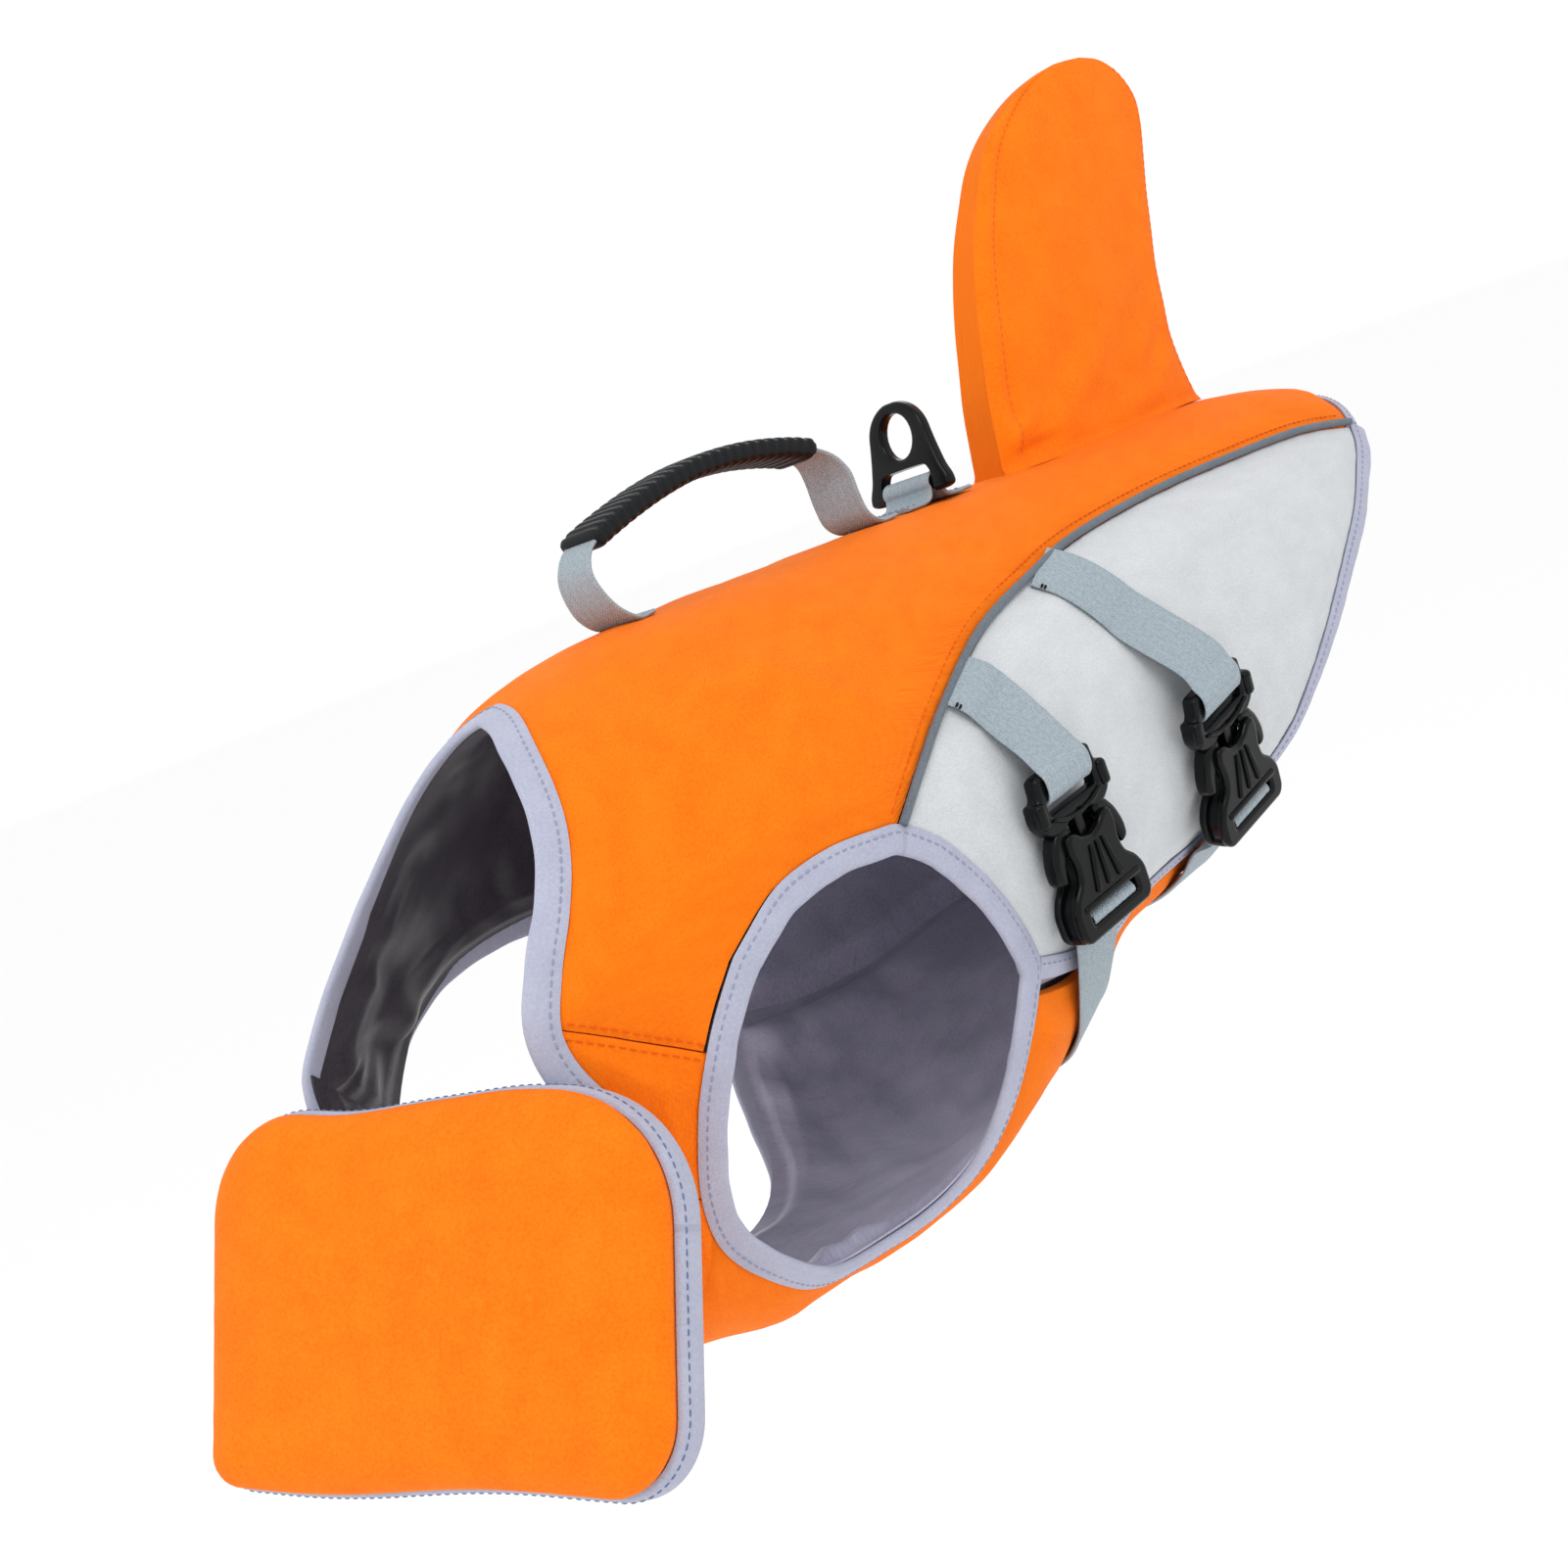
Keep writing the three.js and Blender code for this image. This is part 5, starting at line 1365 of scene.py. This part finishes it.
fin_rings = []
fin_cloth = []
inside_seams = np.clip(share * 12, 0, 1) * np.clip((1 - share) * 12, 0, 1)
for height in heights:
    front, rear, thick = (read(FIN_SECTIONS, "height", edge, height) for edge in ("front", "rear", "thick"))
    x = front + (rear - front) * share
    half = np.maximum(np.interp(share, FIN_PROFILE["along"], FIN_PROFILE["half"]) * thick, 0.8)
    seam = np.exp(-(((share - FIN_GUSSET) * (rear - front) / 2.2) ** 2))
    spot = np.stack([x, 0 * x, np.full(len(x), height)], -1)
    uneven = (ripple(spot, 30, 0.45, 91) + fin_relief(x, height)) * inside_seams
    uneven *= min((height - FIN_FOOT) / 8, 1)
    even = half - 0.7 * seam + 0.8 * math.exp(-(((height - 14) / 6) ** 2)) * inside_seams
    rolled = 1.4 * math.exp(-(((height - FIN_FOOT) / 1.6) ** 2))  # the seam's allowance at the foot
    left, right = (np.maximum(even + uneven * depth + rolled, 0.6) for depth in (0.9, 0.6))
    left = np.stack([x, -left, on_back(x, left, height)], -1)
    right = np.stack([x, right, on_back(x, right, height)], -1)
    fin_rings.append(np.concatenate([left, right[::-1]]))
    girth = np.concatenate([x, 400 - x[::-1]])
    fin_cloth.append(np.stack([np.full(len(girth), height), girth, 0 * girth], -1))
fin_rings = np.array(fin_rings)
faces = ring_faces(len(fin_rings), fin_rings.shape[1])
fin = cloth_mesh("fin_cloth", fin_rings.reshape(-1, 3), faces, np.array(fin_cloth).reshape(-1, 3), orange)
finish_piece(fin, ["fin"])
fin_stitch_rows = []
for column, facing in ((13, -1), (fin_columns - 4, -1), (2 * fin_columns - 14, 1), (fin_columns + 3, 1)):
    line = fin_rings[4:-8, column]
    fin_stitch_rows.append((line, np.array([[0, float(facing), 0]] * len(line))))
stitches("fin_stitches", fin_stitch_rows, orange_thread, radius=0.3)


# Handle. Webbing sewn flat to the back at both ends stands up as a loop, and a black ribbed rubber
# sleeve is slid over its middle for the hand.
ON_BACK = 9.5
HANDLE_PATH = (
    (-137, ON_BACK - 0.3), (-144, ON_BACK - 0.5), (-151, 15), (-154.5, 24.5), (-153.5, 31.5), (-148, 37.5),
    (-134, 42.3), (-113, 47.2), (-93, 49.6), (-70, 48.6), (-48, 44.2), (-36, 38.8), (-31.5, 31), (-31, 22),
    (-29.5, 14), (-24, ON_BACK), (-16.5, ON_BACK),
)
GRIP_FROM = 0.214  # shares of the handle's length
GRIP_TO = 0.768
GRIP_WIDTH = 22
GRIP_THICK = 7.4


def midline_frames(rows, count):
    """Frames at even steps along a line that stands on the back's middle."""
    fine = spline(rows, np.linspace(0, 1, 400))
    lengths = line_lengths(fine)
    x, z = resampled(np.linspace(0, lengths[-1], count + 1), lengths, fine).T
    points = np.stack([x, 0 * x, z], -1)
    along = unit(np.gradient(points, axis=0))
    across = np.array([(0.0, 1.0, 0.0)] * len(points))
    return points, np.cross(along, across), across


def middle_section(width, thick):
    return [(w, h - thick / 2) for w, h in band_section(width, thick)]


GATHERED_WIDTH = 18  # where the grip holds the webbing
handle = midline_frames(HANDLE_PATH, 150)
handle_run = line_lengths(handle[0])
share = handle_run / handle_run[-1]
gathered = np.clip((share - 0.036) / 0.16, 0, 1) * np.clip((0.857 - share) / 0.09, 0, 1)
handle_widths = WEBBING_WIDTH - (WEBBING_WIDTH - GATHERED_WIDTH) * gathered**2 * (3 - 2 * gathered)
handle_sections = [middle_section(width, WEBBING_THICK) for width in handle_widths]
handle_band = swept("handle_webbing", handle, handle_sections, webbing)
finish_piece(handle_band, ["handle_strap"])
declare_sheet(handle_band)

rubber = moulded_material("black_rubber", (0.005, 0.0065, 0.008), 0.5, 0.18, 900, 0.2)
GRIP_RIB_PITCH = 4.4
long_frames = midline_frames(HANDLE_PATH, 600)
first, final = int(GRIP_FROM * 600), int(GRIP_TO * 600)
grip_frames = tuple(values[first:final] for values in long_frames)
along_grip = line_lengths(grip_frames[0])
rib = np.clip(np.sin(2 * math.pi * along_grip / GRIP_RIB_PITCH) * 2, -1, 1) * 0.35
ends = np.clip(np.minimum(along_grip, along_grip[-1] - along_grip) / 2.2, 0, 1) ** 0.5
angles = np.linspace(0, 2 * math.pi, 29)[:-1]
roundness = 0.45
half_width = (GRIP_WIDTH / 2 + 0.2 * rib)[:, None] * (0.9 + 0.1 * ends[:, None])
half_thick = (GRIP_THICK / 2 + rib)[:, None] * (0.55 + 0.45 * ends[:, None])
wide = np.sign(np.cos(angles)) * np.abs(np.cos(angles)) ** roundness * half_width
high = np.sign(np.sin(angles)) * np.abs(np.sin(angles)) ** roundness * half_thick
grip = swept("rubber_grip", grip_frames, np.stack([wide, high], -1), rubber)
finish_piece(grip, ["handle_grip"])

handle_rows = []
for spot in (4, 8, 142, 146):
    centre = handle[0][spot] + handle[1][spot] * WEBBING_THICK / 2 * (1 if handle[1][spot][2] > 0 else -1)
    line = np.array([centre + np.array([0, w, 0]) for w in (-10, 10)])
    handle_rows.append((line, np.array([[0, 0, 1.0]] * 2)))
stitches("handle_stitches", handle_rows, tape_thread)


# Lead ring. A black moulded D-shaped ring with a round eye turns on its bar in a loop of webbing
# that is sewn flat to the spine between the handle and the fin.
RING_STATION = 7
RING_HEIGHT = 15.6
RING_THICK = 5
RING_BAR = 2.3
RING_LEAN = math.radians(8)
loop_radius = RING_BAR + SEAM_GAP + 0.1 + WEBBING_THICK / 2
tab_loop = [
    (RING_STATION + loop_radius * math.cos(a), RING_HEIGHT + loop_radius * math.sin(a))
    for a in np.radians(range(210, -31, -30))
]
tab_path = [
    (RING_STATION - 17, ON_BACK), (RING_STATION - 8, ON_BACK), (RING_STATION - 4.4, 10.8), *tab_loop,
    (RING_STATION + 4.4, 10.8), (RING_STATION + 8, ON_BACK), (RING_STATION + 17, ON_BACK),
]
tab = midline_frames(tab_path, 80)
tab_band = swept("ring_tab_webbing", tab, middle_section(WEBBING_WIDTH, WEBBING_THICK), webbing)
finish_piece(tab_band, ["ring_tab"])
declare_sheet(tab_band)
tab_rows = []
for x in (-13, -10, 10, 13):
    line = np.array([(RING_STATION + x, w, ON_BACK + WEBBING_THICK / 2) for w in (-10, 10)])
    tab_rows.append((line, np.array([[0, 0, 1.0]] * 2)))
stitches("tab_stitches", tab_rows, tape_thread)

ring_half = [(18.5, -3.4), (21.5, -2.4), (21.2, 1), (18.6, 6), (16.6, 13), (15.2, 19)]
ring_crown = [(15 * math.cos(a), 19 + 14 * math.sin(a)) for a in np.radians(range(10, 90, 10))]
ring_edge = both_ways(ring_half + ring_crown)
eye = [(8 * math.cos(a), 20 + 8.6 * math.sin(a)) for a in np.linspace(0, 2 * math.pi, 29)[:-1]]
slot_edge = both_ways([(13.7, -4.0), (13.7, 4), (11.8, 7.4), (4, 7.6)])
plate_body = moulded([rounded(ring_edge, 1.5), eye], RING_THICK, 1.5)
slot_tool = moulded([rounded(slot_edge, 1.5)], 9, 0.4)
pick(plate_body)
cut = plate_body.modifiers.new("slot", "BOOLEAN")
cut.operation = "DIFFERENCE"
cut.object = slot_tool
bpy.ops.object.modifier_apply(modifier="slot")
bpy.data.objects.remove(slot_tool)
lying = (0, math.pi / 2, 0)
bpy.ops.mesh.primitive_cylinder_add(radius=RING_BAR * MM, depth=0.031, vertices=28, rotation=lying)
bar = bpy.context.object
bpy.ops.object.transform_apply(location=True, rotation=True, scale=True)
ring = merge_pieces("ring_plate", [plate_body, bar], plastic)
ring_up = np.array([math.sin(RING_LEAN), 0, math.cos(RING_LEAN)])
ring_across = np.array([0, 1.0, 0])
ring_centre = np.array([RING_STATION, 0, RING_HEIGHT])
place_part(ring, (ring_across, ring_up, np.cross(ring_across, ring_up), ring_centre))
finish_piece(ring, ["lead_ring"], body="ring")
